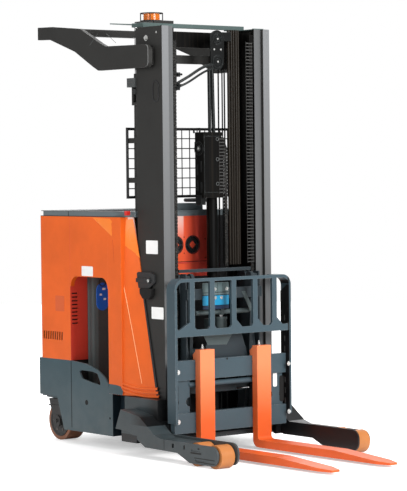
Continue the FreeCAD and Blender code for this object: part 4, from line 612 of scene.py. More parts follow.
def finishPiece(name, bm, body, finish, slot, bevel=0.0, smooth=35):
    bmesh.ops.recalc_face_normals(bm, faces=bm.faces[:])
    mesh = bpy.data.meshes.new(name)
    bm.to_mesh(mesh)
    bm.free()
    mesh.materials.append(materials[finish])
    if smooth:
        mesh.polygons.foreach_set("use_smooth", [True] * len(mesh.polygons))
        mesh.set_sharp_from_angle(angle=math.radians(smooth))
    piece = joinPiece(name, mesh, body)
    if bevel:
        edges = piece.modifiers.new("edges", "BEVEL")
        edges.width = bevel
        edges.segments = soft["segments"]
        edges.limit_method = "ANGLE"
        edges.angle_limit = soft["angle"]
    return piece


builders = {"boxes": addBox, "drums": addDrum, "plates": addPlate, "rings": addRing, "bolts": addBolt}


def makeTrim(pieces, body="chassis"):  # look: finish, slot, bevel; other entries: each shape's measures
    for name, spec in pieces.items():
        bm = bmesh.new()
        for kind, build in builders.items():
            for measures in spec.get(kind, ()):
                build(bm, *measures)
        finishPiece(name, bm, spec.get("body", body), *spec["look"])


def makeTube(name, points, radius, body, finish):
    curve = bpy.data.curves.new(name, "CURVE")
    curve.dimensions = "3D"
    curve.bevel_depth = radius
    curve.bevel_resolution = tube["round"]
    curve.resolution_u = tube["steps"]
    curve.use_fill_caps = True
    spline = curve.splines.new("NURBS")
    spline.points.add(len(points) - 1)
    for point, spot in zip(spline.points, points):
        point.co = (*spot, 1)
    spline.order_u = tube["order"]
    spline.use_endpoint_u = True
    curve.materials.append(materials[finish])
    joinPiece(name, curve, body)


chain = {"pitch": 0.01905, "half": 0.00575, "pin": 0.0032, "head": 0.0006, "layers": 5, "wide": 0.020,
         "plate": 0.84, "top": 0.95, "foot": 0.85, "round": 0.9, "hole": 0.4}
ladder = {"bar": 0.0036, "plate": 0.004, "back": 0.003, "front": 0.0015, "half": 0.0085}
railLadder = {"y": (0.2325, 0.2815), "x": -0.0565, "z": (1.055, 2.335)}


def addLink(bm, x, yLow, yHigh, zLow, stagger):  # plates on a pin, alternate ones half a pitch on
    step = (yHigh - yLow) / chain["layers"]
    pitch, half = chain["pitch"], chain["half"]
    for layer in range(chain["layers"]):
        start = zLow if layer % 2 == 0 or not stagger else zLow + pitch / 2
        y = yLow + step * (layer + 0.5)
        low, high = start + half * chain["foot"], start + pitch - half * chain["top"]
        reach = step * chain["plate"] / 2
        addPlate(bm, "y", (y - reach, y + reach), slotLine(x, low, high, half * chain["round"], 4))
    pin = (yLow - chain["head"], yHigh + chain["head"])
    addDrum(bm, "y", chain["pin"], pin, (x, zLow + pitch * chain["hole"]), 10)


def makeChain(name, node, body, strands, stagger):
    low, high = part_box(node)
    bm = bmesh.new()
    for yLow, yHigh in strands or [(low.y, high.y)]:
        for index in range(int((high.z - low.z) / chain["pitch"])):
            addLink(bm, (low.x + high.x) / 2, yLow, yHigh, high.z - (index + 1) * chain["pitch"], stagger)
    piece = finishPiece(name, bm, body, "chainSteel", "rail_steel", smooth=0)
    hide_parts(node)
    return piece


def makeLadder(name, body, x, span, low, high):  # the ribbed guide that carries hoses down a rail
    left, right = span
    bars, plates = bmesh.new(), bmesh.new()
    for index in range(int((high - low) / chain["pitch"])):
        z = high - (index + 0.5) * chain["pitch"]
        addDrum(bars, "y", ladder["bar"], span, (x, z), 8)
        for y in (left, right - ladder["plate"]):
            addBox(plates, (x - ladder["back"], y, z - ladder["half"]),
                   (x + ladder["front"], y + ladder["plate"], z + ladder["half"]))
    return [finishPiece(name + "Bars", bars, body, "ribSteel", "rail_steel"),
            finishPiece(name + "Plates", plates, body, "chainSteel", "rail_steel")]


def shorten(piece):  # gives the piece a mesh of its own
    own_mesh(piece)


def makeChains():
    low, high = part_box("lift_chains")
    strands = [(low.y, low.y + chain["wide"]), (high.y - chain["wide"], high.y)]
    piece = makeChain("mainChains", "lift_chains", "mast_middle", strands, False)
    shorten(piece)
    foot, top = railLadder["z"]
    for piece in makeLadder("hoseLadder", "mast_inner", railLadder["x"], railLadder["y"], foot, top):
        shorten(piece)
    low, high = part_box("free_chain_front")
    piece = makeChain("freeChainFront", "free_chain_front", "lift_carriage", None, True)
    shorten(piece)


makeChains()
print("chains made")

hoses = {  # each run: x, y at the top, y at the foot, radius
    "frontHoses": {"finish": "hoseRubber", "z": (1.055, 2.18), "runs": (
        (-0.194, 0.072, 0.079, 0.0100), (-0.198, 0.098, 0.122, 0.0105), (-0.196, 0.170, 0.170, 0.0040))},
    "bundleHoses": {"finish": "hoseBrown", "z": (1.055, 2.40), "runs": (
        (-0.092, 0.134, 0.134, 0.0085), (-0.086, 0.150, 0.150, 0.0075), (-0.084, 0.165, 0.165, 0.0070),
        (-0.082, 0.181, 0.181, 0.0085), (-0.084, 0.198, 0.198, 0.0075))},
    "backHoses": {"finish": "hoseRubber", "z": (0.12, 2.18), "still": True, "runs": (
        (-0.206, 0.195, 0.195, 0.0045), (-0.206, 0.150, 0.150, 0.0045))},
}
sweep = {"radius": 0.0085, "lowRadius": 0.0065, "drop": 0.020, "sag": 0.012, "bend": 0.6, "points": (
    (-0.085, -0.252, 2.085), (-0.075, -0.235, 2.097), (-0.066, -0.175, 2.128), (-0.066, -0.105, 2.168),
    (-0.066, -0.045, 2.193), (-0.066, 0.0, 2.200))}


def makeHoses():
    for name, spec in hoses.items():
        low, high = spec["z"]
        bm = bmesh.new()
        for x, yTop, yFoot, radius in spec["runs"]:
            for vert in addDrum(bm, "z", radius, spec["z"], (x, yTop), 16):
                vert.co.y += (yFoot - yTop) * (high - vert.co.z) / (high - low)
        piece = finishPiece(name, bm, "mast_inner", spec["finish"], "rail_steel")
        if "still" not in spec:
            shorten(piece)
    makeTube("sweepHose", sweep["points"], sweep["radius"], "mast_inner", "hoseRubber")
    lower = [(x, y, z - sweep["drop"] - sweep["sag"] * math.sin(index * sweep["bend"]))
             for index, (x, y, z) in enumerate(sweep["points"])]
    makeTube("sweepHoseLow", lower, sweep["lowRadius"], "mast_inner", "hoseRubber")


makeHoses()
print("hoses made")


def headTrim(face, side, pulley=(-0.122, 1.722)):
    edge, front = (side - 0.0015, side + 0.001), (face - 0.001, face + 0.003)
    return {
        "headCoverEdges": {
            "look": ("greasySteel", "rail_steel", 0.0006),
            "boxes": [((face - 0.001, -0.062, 1.46), (face + 0.0025, -0.058, 1.80)),
                      *[((face - 0.001, -0.058, z), (face + 0.002, 0.070, z + 0.003)) for z in (1.47, 1.79)],
                      *[((x - 0.007, side - 0.002, z - 0.03), (x + 0.007, side + 0.001, z + 0.03))
                        for x, z in ((-0.135, 1.60), (-0.135, 1.51), (-0.100, 1.62), (-0.100, 1.50))]],
            "rings": [("y", 0.041, 0.035, edge, pulley), ("y", 0.029, 0.027, edge, pulley)]},
        "headCoverTrim": {
            "look": ("dullSteel", "rail_steel", 0.0006),
            "rings": [("y", 0.016, 0.009, (side - 0.003, side + 0.001), pulley),
                      *[("x", 0.011, 0.008, front, (0.035, z), 20) for z in (1.52, 1.66, 1.775)]]},
        "headCoverBolts": {
            "look": ("boltZinc", "bright_rod"),
            "bolts": [("y", side - 0.002, pulley, 0.0055, -1)],
            "drums": [("x", 0.004, (face - 0.001, face + 0.002), (0.068, 1.79), 12)]},
        "headHandle": {
            "look": ("greasySteel", "rail_steel", 0.001),
            "boxes": [*[((x - 0.004, -0.061, 1.81), (x + 0.004, -0.053, 1.836)) for x in (-0.176, -0.122)],
                      ((-0.180, -0.061, 1.832), (-0.118, -0.053, 1.840)),
                      ((-0.150, side - 0.004, 1.40), (-0.100, side + 0.03, 1.455))]},
    }


headLow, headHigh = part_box("lift_head")
headChain = {"y": (0.046, 0.086), "z": (1.46, 1.785), "proud": 0.001}  # turns over inside, shows in front
makeTrim(headTrim(headHigh.x, headLow.y), "lift_head")
makeLadder("headChain", "lift_head", headHigh.x + headChain["proud"], headChain["y"], *headChain["z"])


def sheaveTrim(face=-0.0625, back=-0.0725, middle=0.030, high=2.345, low=2.215):
    rim, hub = (face - 0.001, face + 0.005), (face - 0.001, face + 0.004)
    clamps = ((-0.262, 2.062, 0.030), (-0.248, 2.075, 0.034), (-0.250, 2.135, 0.034))  # y, z, length
    return {
        "hoseSheaves": {  # the plate and wheels that turn the hoses over at the top of the inner mast
            "look": ("greasySteel", "rail_steel", 0.001),
            "plates": [("x", (back, face), slotLine(middle, low, high, 0.050, 12, 0.046))],
            "boxes": [((-0.104, 0.070, 2.335), (back + 0.004, 0.136, 2.385))],
            "rings": [("x", radius * part, radius * part - less, span, (middle, z))
                      for z, radius in ((high, 0.034), (low, 0.038))
                      for part, less, span in ((1.0, 0.006, rim), (0.5, radius * 0.25, hub))],
            "drums": [("x", 0.005, hub, spot, 10) for spot in arc((middle, high), 0.026, 18, 306, 4)]},
        "hoseSheavePins": {
            "look": ("boltZinc", "bright_rod"),
            "drums": [("x", 0.0055, (face - 0.001, face + 0.0055), spot, 14)
                      for spot in ((middle, high), (middle, low), (0.052, 2.285), (0.004, 2.285))]},
        "hoseFittings": {
            "look": ("greasySteel", "rail_steel", 0.0008),
            "boxes": [((-0.098, -0.272, 2.050), (-0.070, -0.236, 2.092)),
                      ((-0.092, -0.268, 2.125), (-0.072, -0.232, 2.150))],
            "drums": [*[("x", 0.009, (-0.074, -0.074 + length * 0.5), (y, z), 8) for y, z, length in clamps],
                      *[("y", 0.006, (y, y + length), (-0.078, z + 0.004), 12) for y, z, length in clamps],
                      ("z", 0.008, (2.045, 2.30), (-0.088, -0.268), 14),
                      ("z", 0.006, (2.045, 2.36), (-0.076, -0.262), 14)]},
    }


makeTrim(sheaveTrim(), "mast_inner")
print("mast fittings made")


def restTrim(front=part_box("load_backrest")[1].x, plate=0.0555):
    return {
        "backrestBolts": {
            "look": ("boltZinc", "bright_rod"),
            "bolts": [("x", front - 0.002, (y, z), 0.009) for y in (-0.405, 0.405) for z in (0.478, 0.201)]},
        "uprightSlots": {  # down the inside of the far upright
            "look": ("dullSteel", "carriage_paint"),
            "boxes": [((0.061, 0.4068, 0.245 + 0.060 * index), (0.066, 0.4085, 0.277 + 0.060 * index))
                      for index in range(9)]},
        "carriageSlots": {
            "look": ("shadowGap", "carriage_paint"),
            "plates": [*[("x", (plate, 0.0572), roundBox((y - 0.017, 0.256), (y + 0.017, 0.407), 0.014))
                         for y in (-0.387, 0.387)],
                       ("x", (0.0705, 0.0716), circle((-0.029, 0.531), 0.006, 16))]},
        "signRest": {
            "look": ("blankLabel", "carriage_paint"),
            "plates": [("x", (plate, 0.0568), roundBox((0.322, 0.346), (0.352, 0.430), 0.008))]},
    }


def tiltTrim(x=-0.008, y=-0.010):
    return {
        "tiltBody": {
            "look": ("webGrey", "carriage_paint", 0.0015),
            "drums": [("y", 0.014, (-0.195, 0.195), (x, 0.792)), ("z", 0.034, (0.672, 0.762), (x, y), 32)],
            "rings": [("z", 0.038, 0.030, (0.752, 0.764), (x, y), 32)],
            "boxes": [((-0.030, -0.112, 0.700), (0.012, -0.074, 0.758)),
                      ((-0.026, -0.020, 0.775), (0.010, 0.002, 0.812))]},
        "tiltRod": {
            "look": ("brightRod", "bright_rod"),
            "drums": [("z", 0.013, (0.760, 0.785), (x, y), 24)]},
        "armPin": {
            "body": "reach_arm_b", "look": ("brightRod", "bright_rod"),
            "drums": [("y", 0.006, (0.125, 0.215), (-0.040, 0.345), 16),
                      ("y", 0.010, (0.205, 0.215), (-0.040, 0.345), 16)]},
    }


def frameTrim(face=0.023):
    seam = (face + 0.0035, face + 0.0045)
    bands = {"Cyan": (0.834, 0.889), "Grey": (0.893, 0.962), "Navy": (0.812, 0.832)}
    plates = {"framePlate" + name: {
        "look": (name.lower() + "Plate", "carriage_paint", 0.001),
        "plates": [("x", (face - 0.001, face + 0.004), roundBox((-0.165, low), (0.024, high), 0.004))]}
        for name, (low, high) in bands.items()}
    return {
        **plates,
        "framePlateBolts": {
            "look": ("boltZinc", "bright_rod"),
            "bolts": [("x", face + 0.003, spot, 0.0065)
                      for spot in ((-0.075, 0.876), (-0.030, 0.876), (-0.075, 0.925), (0.010, 0.925))]},
        "framePlateSeams": {
            "look": ("shadowGap", "carriage_paint"),
            "boxes": [*[((seam[0], y, 0.900), (seam[1], y + 0.002, 0.958)) for y in (-0.112, -0.058, -0.020)],
                      ((seam[0], -0.163, 0.905), (seam[1], 0.022, 0.908))]},
        "frameWebAndSheen": {
            "look": ("webGrey", "carriage_paint", 0.001),
            # the first plate is a painted highlight: a lighter patch for the sheen on the frame's top
            "plates": [("x", (face - 0.001, face + 0.002),
                        [(-0.168, 0.676), (0.049, 0.666), (0.006, 0.607), (-0.130, 0.610)]),
                       ("x", (face - 0.001, face + 0.003),
                        [(0.120, 0.905), (0.148, 0.905), (0.205, 0.800), (0.182, 0.790)])]},
    }


forkTrim = {
    "forkPins": {
        "look": ("boltZinc", "bright_rod", 0.001),
        "drums": [("z", radius, span, (0.070, y), segments) for y in (-0.207, 0.207)
                  for radius, span, segments in ((0.007, (0.585, 0.612), 16), (0.0045, (0.612, 0.622), 12))],
        "boxes": [((0.060, y - 0.004, 0.594), (0.080, y + 0.004, 0.600)) for y in (-0.207, 0.207)]},
}

makeTrim(restTrim(), "fork_carriage")
makeTrim(tiltTrim(), "fork_frame")
makeTrim(frameTrim(), "fork_frame")
print("fork frame fittings made")
makeTrim(forkTrim, "fork_carriage")

columnSide = -0.391
latch = {"low": -0.281, "high": -0.108, "foot": 0.934, "head": 1.026, "knob": (-0.153, 0.980)}


def columnTrim(side=columnSide):
    low, high, foot, head = (latch[key] for key in ("low", "high", "foot", "head"))
    sheet = (side - 0.0012, side + 0.0002)
    return {
        "signHigh": {
            "look": ("blankLabel", "mast_paint"),
            "plates": [("y", sheet, roundBox((-0.198, 1.130), (-0.089, 1.206), 0.005))]},
        "signLow": {
            "look": ("blankLabel", "mast_paint"),
            "plates": [("y", sheet, roundBox((-0.153, 0.765), (-0.043, 0.832), 0.005))]},
        "columnLatch": {
            "look": ("blackPlastic", "cover_plastic", 0.0015),
            "plates": [("y", (side - 0.016, side + 0.0005), [
                (low, foot + 0.03), (low + 0.03, foot), (high - 0.05, foot), (high, foot + 0.035),
                (high, head - 0.015), (high - 0.03, head), (low + 0.02, head), (low, head - 0.02)])],
            "drums": [("y", 0.016, (side - 0.024, side - 0.014), latch["knob"], 24)],
            "boxes": [((low + 0.01, side - 0.022, latch["knob"][1] - 0.012),
                       (high - 0.06, side - 0.015, latch["knob"][1] + 0.012))]},
        "latchStrike": {
            "look": ("shadowGap", "cover_plastic", 0.001),
            "plates": [("y", (-0.417, side + 0.0005), [
                (-0.232, foot), (-0.231, 0.905), (-0.206, 0.878), (-0.150, 0.874), (-0.124, 0.900),
                (-0.120, foot)])]},
        "columnLatchBolt": {
            "look": ("boltZinc", "bright_rod"),
            "bolts": [("y", side - 0.023, latch["knob"], 0.006, -1)]},
    }


makeTrim(columnTrim())
print("column fittings made")

loop = {"x": -0.094, "z": (2.013, 2.074), "radii": (0.031, 0.022), "merge": 0.0001,
        "span": (columnSide - 0.003, columnSide + 0.0005)}


# painted shade: a dark raised ring stands for the shade in the D-shaped groove
def makeLoop():
    outer, inner = (slotLine(loop["x"], *loop["z"], radius, 10) for radius in loop["radii"])
    bm = bmesh.new()
    for first in range(len(outer)):
        last = (first + 1) % len(outer)
        addPlate(bm, "y", loop["span"], [outer[first], outer[last], inner[last], inner[first]])
    bmesh.ops.remove_doubles(bm, verts=bm.verts[:], dist=loop["merge"])
    finishPiece("columnLoop", bm, "chassis", "darkSteel", "mast_paint", 0.0008)


guardBolts = {
    "guardBolts": {
        "look": ("boltZinc", "bright_rod"),
        "bolts": [("y", columnSide, (-0.178, 2.344), 0.011, -1),
                  ("y", columnSide, (-0.082, 2.372), 0.004, -1)]},
}


def guardTrim(arm=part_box("overhead_guard")[0].y):
    edge = [(-0.128, 2.181), (-0.106, 2.187), (-0.0985, 2.203), (-0.0985, 2.283), (-0.106, 2.299),
            (-0.122, 2.303)]
    folds = (((-0.492, 2.384), (-0.399, 2.326)), ((-0.655, 2.324), (-0.575, 2.388)))
    return {
        "workLamp": {
            "look": ("dullSteel", "mast_paint", 0.001),
            "boxes": [((-0.350, -0.402, 2.072), (-0.276, -0.373, 2.124)),
                      *[((-0.347, -0.4045, z), (-0.280, -0.401, z + 0.006)) for z in (2.082, 2.097, 2.112)]]},
        "lampPlug": {
            "look": ("blackPlastic", "cover_plastic", 0.001),
            "boxes": [((-0.300, -0.398, 2.032), (-0.276, -0.380, 2.062))],
            "drums": [("x", 0.006, (-0.292, -0.274), (-0.388, 2.047), 12)]},
        "guardShelf": {
            "look": ("tieGrey", "mast_paint", 0.001),
            "plates": [("z", (2.4285, 2.4345), [
                (-0.345, -0.095), (-0.395, -0.095), (-0.385, -0.490), (-0.375, -0.496), (-0.360, -0.300)])]},
        # painted highlight along the arm's rounded end
        "armEdgeHighlight": {
            "look": ("paleEdge", "mast_paint"),
            "plates": [("y", (arm - 0.0015, arm + 0.0005), slanted(*ends, 0.003))
                       for ends in zip(edge, edge[1:])]},
        "armFolds": {
            "look": ("dullSteel", "mast_paint"),
            "plates": [("y", (arm - 0.0008, arm + 0.0003), slanted(*ends, 0.004)) for ends in folds]},
    }


makeTrim(guardBolts)
makeLoop()
makeTrim(guardTrim())
print("guard fittings made")


def bodyTrim(side=-0.457, tag=-0.272):
    thin, inside = (side - 0.0006, side + 0.0002), side + 0.0002
    return {
        "sidePlate": {
            "look": ("blankLabel", "orange_paint"),
            "plates": [("y", (side - 0.0012, inside), roundBox((-0.735, 0.991), (-0.624, 1.048), 0.006))]},
        "sidePlateFaded": {
            "look": ("fadedLabel", "orange_paint"),
            "plates": [("y", (side - 0.0008, inside), roundBox((-1.007, 0.775), (-0.916, 0.866), 0.006))]},
        "skirtSeam": {
            "look": ("shadowGap", "skirt_paint"),
            "plates": [("y", thin, [(-0.8515, 0.487), (-0.8565, 0.487), (-0.8565, 0.095), (-0.8515, 0.095)]),
                       ("y", thin, circle((-0.702, 0.254), 0.015, 18)),
                       ("y", thin, circle((-0.473, 0.180), 0.007, 18))]},
        "wingFootCover": {
            "look": ("skirtPaint", "skirt_paint", 0.0006),
            "plates": [("y", (side - 0.0015, inside), [
                (-0.480, 0.3225), (-0.349, 0.3225), (-0.344, 0.345), (-0.366, 0.371), (-0.400, 0.376),
                (-0.480, 0.379)])]},
        "padTag": {
            "look": ("blueLabel", "pad_vinyl", 0.0005),
            "plates": [("x", (-0.7915, -0.787), slotLine(tag, 0.820, 0.900, 0.042, 12))]},
        "padTagMarks": {
            "look": ("blankLabel", "pad_vinyl"),
            "boxes": [((-0.7875, y - half, z - 0.006), (-0.7865, y + half, z + 0.006))
                      for y, z, half in (
                          (-0.262, 0.905, 0.011), (-0.285, 0.872, 0.008), (-0.256, 0.845, 0.009))]},
        "padTagRing": {
            "look": ("darkSteel", "dark_steel"),
            "rings": [("x", 0.026, 0.021, (-0.790, -0.786), (tag, 0.945), 24)]},
    }


def coverTrim(side=-0.453):
    return {
        "stopButton": {
            "look": ("redButton", "cover_plastic", 0.003),
            "boxes": [((-0.318, side - 0.002, 1.346), (-0.300, side + 0.03, 1.372))]},
        "coverSeams": {
            "look": ("shadowGap", "cover_plastic"),
            "boxes": [((-0.872, side - 0.0006, 1.337), (-0.867, side + 0.88, 1.3686)),
                      ((-1.157, side - 0.0008, 1.3355), (-0.31, side + 0.0005, 1.3385))]},
        "coverEdge": {
            "look": ("flangeFace", "cover_plastic", 0.001),
            "boxes": [((-1.150, side - 0.001, 1.3645), (-0.31, side + 0.004, 1.3688))]},
    }


legTrim = {
    "legSeams": {
        "look": ("shadowGap", "leg_paint"),
        "plates": [("y", skin(face, way, 0.0002, 0.0007), roundBox(low, high, radius))
                   for face, way in ((-0.552, -1), (0.552, 1)) for low, high, radius in (
                       ((0.1565, 0.066), (0.1595, 0.128), 0.001), ((0.392, 0.069), (0.486, 0.077), 0.0035),
                       ((0.425, 0.046), (0.600, 0.050), 0.0015), ((0.440, 0.026), (0.600, 0.030), 0.0015),
                       ((0.455, 0.094), (0.470, 0.104), 0.004))]},
}
bigHubs = {"caster_wheel": 0.093, "drive_wheel": 0.132}
smallHubs = ("front_left", "front_right", "rear_left", "rear_right")


def wheelShape(name):  # the hub's centre, and its two faces with the way they look
    low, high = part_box(name)
    return ((low.x + high.x) / 2, (low.z + high.z) / 2), ((low.y, -1), (high.y, 1))


def bigHubTrim(name, rim):
    middle, faces = wheelShape(name)
    return {
        name + "Hub": {
            "look": ("darkSteel", "dark_steel", 0.001),
            "drums": [("y", rim, skin(face, way, 0.001, 0.0012), middle, 48) for face, way in faces],
            "rings": [("y", outer, inner, skin(face, way, 0, proud), middle) for face, way in faces
                      for outer, inner, proud in ((rim, rim - 0.011, 0.004), (0.045, 0.034, 0.005))]},
        name + "Bolts": {
            "look": ("hubSteel", "bright_rod"),
            "bolts": [("y", face + way * 0.001, spot, 0.0055, way) for face, way in faces
                      for spot in circle(middle, 0.060, 6)]},
    }


def smallHubTrim(name):
    middle, faces = wheelShape("load_wheel_" + name)
    return {"hub_" + name: {
        "look": ("hubSteel", "dark_steel"),
        "rings": [("y", 0.040, 0.030, skin(face, way, 0.001, 0.0015), middle) for face, way in faces],
        "drums": [*[("y", 0.027, skin(face, way, 0.001, 0.0025), middle, 32) for face, way in faces],
                  *[("y", 0.0035, skin(face, way, 0, 0.004), spot, 6) for face, way in faces
                    for spot in circle(middle, 0.020, 6)]]}}


def casterTrim():
    middle = wheelShape("caster_wheel")[0]
    low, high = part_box("caster_fork")
    faces = ((low.y, -1), (high.y, 1))
    return {"casterCaps": {
        "look": ("darkSteel", "dark_steel", 0.001),
        "drums": [("y", 0.034, skin(face, way, 0.001, 0.009), middle, 24) for face, way in faces],
        "bolts": [("y", face + way * 0.008, middle, 0.012, way) for face, way in faces],
        "boxes": [((low.x + 0.004, low.y - 0.004, high.z - 0.05),
                   (high.x - 0.004, low.y + 0.001, high.z - 0.042))]}}


def beaconTrim():
    low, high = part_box("beacon")
    middle, radius = ((low.x + high.x) / 2, (low.y + high.y) / 2), (high.x - low.x) / 2
    return {"beaconRibs": {
        "look": ("amberLens", "amber_lens", 0.001),
        "rings": [("z", radius + 0.0012, radius - 0.002, (low.z + rise, low.z + rise + 0.004), middle)
                  for rise in (0.008, 0.018, 0.028)]}}


def matTrim():
    low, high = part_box("deck_mat")
    return {"matRibs": {
        "look": ("matRubber", "mat_rubber", 0.0008),
        "boxes": [((low.x + 0.020, y - 0.006, high.z - 0.001), (high.x - 0.020, y + 0.006, high.z + 0.0018))
                  for y in (low.y + 0.045 + 0.050 * index for index in range(17))]}}


makeTrim(bodyTrim())
makeTrim(coverTrim())
makeTrim(legTrim)
for wheelName, wheelRim in bigHubs.items():
    makeTrim(bigHubTrim(wheelName, wheelRim), wheelName)
makeTrim(casterTrim(), "caster_fork")
makeTrim(beaconTrim())
makeTrim(matTrim())

wing = {"foot": 0.322, "top": 1.335, "crease": (-0.385, -0.431), "tip": (-0.090, -0.309), "edge": -0.397,
        "side": -0.457}
strip = ((0.0, 0.0), (0.18, 1.0), (0.5, 1.15), (0.82, 1.0), (1.0, 0.0))  # shares of width and of height
sunk = -0.0005  # where a strip's edges lie, just under the skin
ribs = {"left": (-0.365, 0.399), "right": (-0.093, 0.380), "leftStep": (0.008, -0.021),
        "rightStep": (0.006, -0.022), "bow": 0.012, "high": 0.015, "out": 0.006, "sunk": -0.001}
# painted highlight: a bright patch on the wing's upper facet stands for a reflection
highlightFacet = {"top": ((-0.620, 1.332), (-0.3115, 1.332)),
         "foot": ((-0.618, 1.329), (-0.437, 1.222), (-0.250, 1.105)), "out": 0.0015}
lines = {
    # painted highlight: a pale line along the wing's crease
    "wingHighlightLine": {"ends": ((-0.3790, 1.040), (-0.2160, 0.396)), "wide": 0.004, "out": 0.0016,
                 "finish": "orangeGlint"},
    # painted shade: a dark line in the wing's crease
    "wingCreaseShade": {"ends": ((-0.430, 1.205), (-0.3584, 0.401)), "wide": 0.003, "out": 0.0006,
                   "finish": "orangeCreaseShade"},
}


def wingSpot(x, z, out):  # the point of the wing's slanting skin at x, z, moved outward
    rise = (z - wing["foot"]) / (wing["top"] - wing["foot"])
    crease, tip = (first + rise * (last - first) for first, last in (wing["crease"], wing["tip"]))
    across = min(1.0, max(0.0, (x - crease) / (tip - crease)))
    return (x, wing["side"] + across * (wing["edge"] - wing["side"]) - out, z)


def along(first, second, steps, bow=0.0):
    points = []
    for step in range(steps + 1):
        part = step / steps
        points.append((first[0] + (second[0] - first[0]) * part,
                       first[1] + (second[1] - first[1]) * part - bow * math.sin(math.pi * part)))
    return points


def addStrip(bm, top, foot, out, lift):  # a raised band between two lines of x, z points on the wing
    rows = []
    for first, second in zip(top, foot):
        rows.append([bm.verts.new(wingSpot(
            first[0] + (second[0] - first[0]) * part, first[1] + (second[1] - first[1]) * part,
            out * height if height else lift)) for part, height in strip])
    for here, there in zip(rows, rows[1:]):
        for index in range(len(here) - 1):
            bm.faces.new((here[index], here[index + 1], there[index + 1], there[index]))


def makeWingTrim():
    bm = bmesh.new()
    for index in range(3):
        left, right = ([start + index * step for start, step in zip(ribs[end], ribs[end + "Step"])]
                       for end in ("left", "right"))
        top = along(left, right, 14, ribs["bow"])
        addStrip(bm, top, [(x, z - ribs["high"]) for x, z in top], ribs["out"], ribs["sunk"])
    finishPiece("wingRibs", bm, "chassis", "orangePaint", "orange_paint")
    bm = bmesh.new()
    foot = along(*highlightFacet["foot"][:2], 7) + along(*highlightFacet["foot"][1:], 6)[1:]
    addStrip(bm, along(*highlightFacet["top"], 13), foot, highlightFacet["out"], sunk)
    finishPiece("wingHighlightFacet", bm, "chassis", "orangeHighlight", "orange_paint")
    for name, spec in lines.items():
        bm = bmesh.new()
        left = along(*spec["ends"], 16)
        addStrip(bm, left, [(x + spec["wide"], z) for x, z in left], spec["out"], sunk)
        finishPiece(name, bm, "chassis", spec["finish"], "orange_paint")


makeWingTrim()
print("body trim made")


def fanTrim(face=fans["face"], z=fans["z"]):
    hub, ring = (fans["inner"], fans["middle"][0]), (fans["middle"][1], fans["outer"])
    screws = ((0.111, 1.199), (0.124, 1.089), (0.111, 1.089), (-0.044, 1.213), (-0.044, 1.120))
    return {
        "fanMesh": {
            "look": ("darkSteel", "dark_steel"),
            "rings": [("x", outer + 0.001, inner - 0.001, (face - 0.010, face - 0.006), (y, z))
                      for y in fans["y"] for inner, outer in (hub, ring)]},
        "fanWires": {
            "look": ("darkSteel", "dark_steel"),
            "rings": [*[("x", fans["outer"] + 0.004, fans["outer"], (face, face + 0.002), (y, z))
                        for y in fans["y"]],
                      *[("x", radius, radius - 0.0012, (face - 0.005, face + 0.001), (y, z))
                        for y in fans["y"] for radius in (0.0375, 0.0425, 0.047)]],
            "drums": [("x", 0.0016, (face - 0.004, face + 0.0012), spot, 6)
                      for y in fans["y"] for spot in arc((y, z), 0.042, 7.5, 352.5, 23)]},
        "housingSlot": {  # the slot under the fans and the screw holes
            "look": ("shadowGap", "orange_paint"),
            "drums": [("x", 0.0035, (face - 0.001, face + 0.0008), spot, 12) for spot in screws],
            "boxes": [((face - 0.001, -0.26, 1.0685), (face + 0.0006, 0.137, 1.0725))]},
        # painted shade: the lip under the fans in shaded orange
        "housingLip": {
            "look": ("innerRed", "orange_paint", 0.001),
            "boxes": [((face - 0.001, -0.26, 1.0610), (face + 0.0035, 0.140, 1.0680))]},
    }


makeTrim(fanTrim())
print("fans made")
for wheelName in smallHubs:
    makeTrim(smallHubTrim(wheelName), "load_wheel_" + wheelName)
print("wheel hubs made")

cushion = {"shrink": 0.97, "round": 0.018, "steps": 4, "voxel": 0.006, "held": 0.012, "pressure": 4,
           "frames": 20, "most": 0.010, "proud": 0.005, "fill": 0.8}


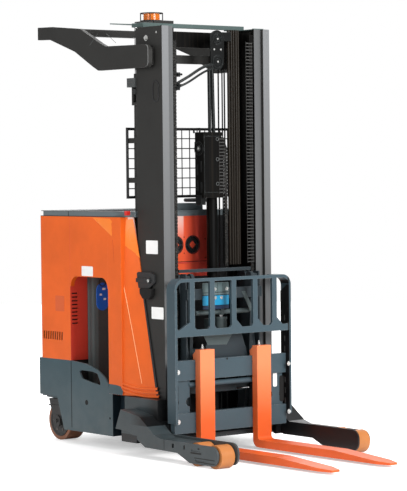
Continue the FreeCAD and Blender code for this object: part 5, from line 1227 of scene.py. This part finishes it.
def makePad():
    low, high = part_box("backrest_pad")
    bm = bmesh.new()
    made = bmesh.ops.create_cube(bm, size=2)["verts"]
    bmesh.ops.scale(bm, vec=(high - low) / 2 * cushion["shrink"], verts=made)
    bmesh.ops.translate(bm, vec=(low + high) / 2, verts=made)
    bmesh.ops.bevel(bm, geom=bm.edges[:], offset=cushion["round"], segments=cushion["steps"], profile=0.5,
                    affect="EDGES", material=-1)
    mesh = bpy.data.meshes.new("backPad")
    bm.to_mesh(mesh)
    bm.free()
    mesh.materials.append(materials["padVinyl"])
    pad = joinPiece("backPad", mesh, "chassis")
    swellPad(pad, low, high)
    pad.data.polygons.foreach_set("use_smooth", [True] * len(pad.data.polygons))
    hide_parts("backrest_pad")


def swellPad(pad, low, high):
    remesh = pad.modifiers.new("voxels", "REMESH")
    remesh.mode = "VOXEL"
    remesh.voxel_size = cushion["voxel"]
    applyModifiers(pad)
    rest = [vertex.co.copy() for vertex in pad.data.vertices]
    group = pad.vertex_groups.new(name="held")
    group.add([index for index, spot in enumerate(rest) if spot.x < low.x + cushion["held"]], 1.0, "REPLACE")
    cloth = pad.modifiers.new("swell", "CLOTH")
    cloth.settings.use_pressure = True
    cloth.settings.uniform_pressure_force = cushion["pressure"]
    cloth.settings.effector_weights.gravity = 0
    cloth.settings.vertex_group_mass = "held"
    for step in range(cushion["frames"]):
        scene.frame_set(step + 1)
    applyModifiers(pad)
    for vertex, start in zip(pad.data.vertices, rest):
        move = vertex.co - start
        if move.length > cushion["most"]:
            vertex.co = start + move * (cushion["most"] / move.length)
        vertex.co.x = max(low.x, min(high.x + cushion["proud"], vertex.co.x))
    finer = pad.modifiers.new("finer", "SUBSURF")
    finer.levels = finer.render_levels = 1
    applyModifiers(pad)
    scene.frame_set(1)


def applyModifiers(thing):
    bpy.context.view_layer.update()
    shape = thing.evaluated_get(bpy.context.evaluated_depsgraph_get())
    made = bpy.data.meshes.new_from_object(shape)
    thing.modifiers.clear()
    made.name = thing.data.name + "Set"
    thing.data = made


makePad()
print("back pad made")
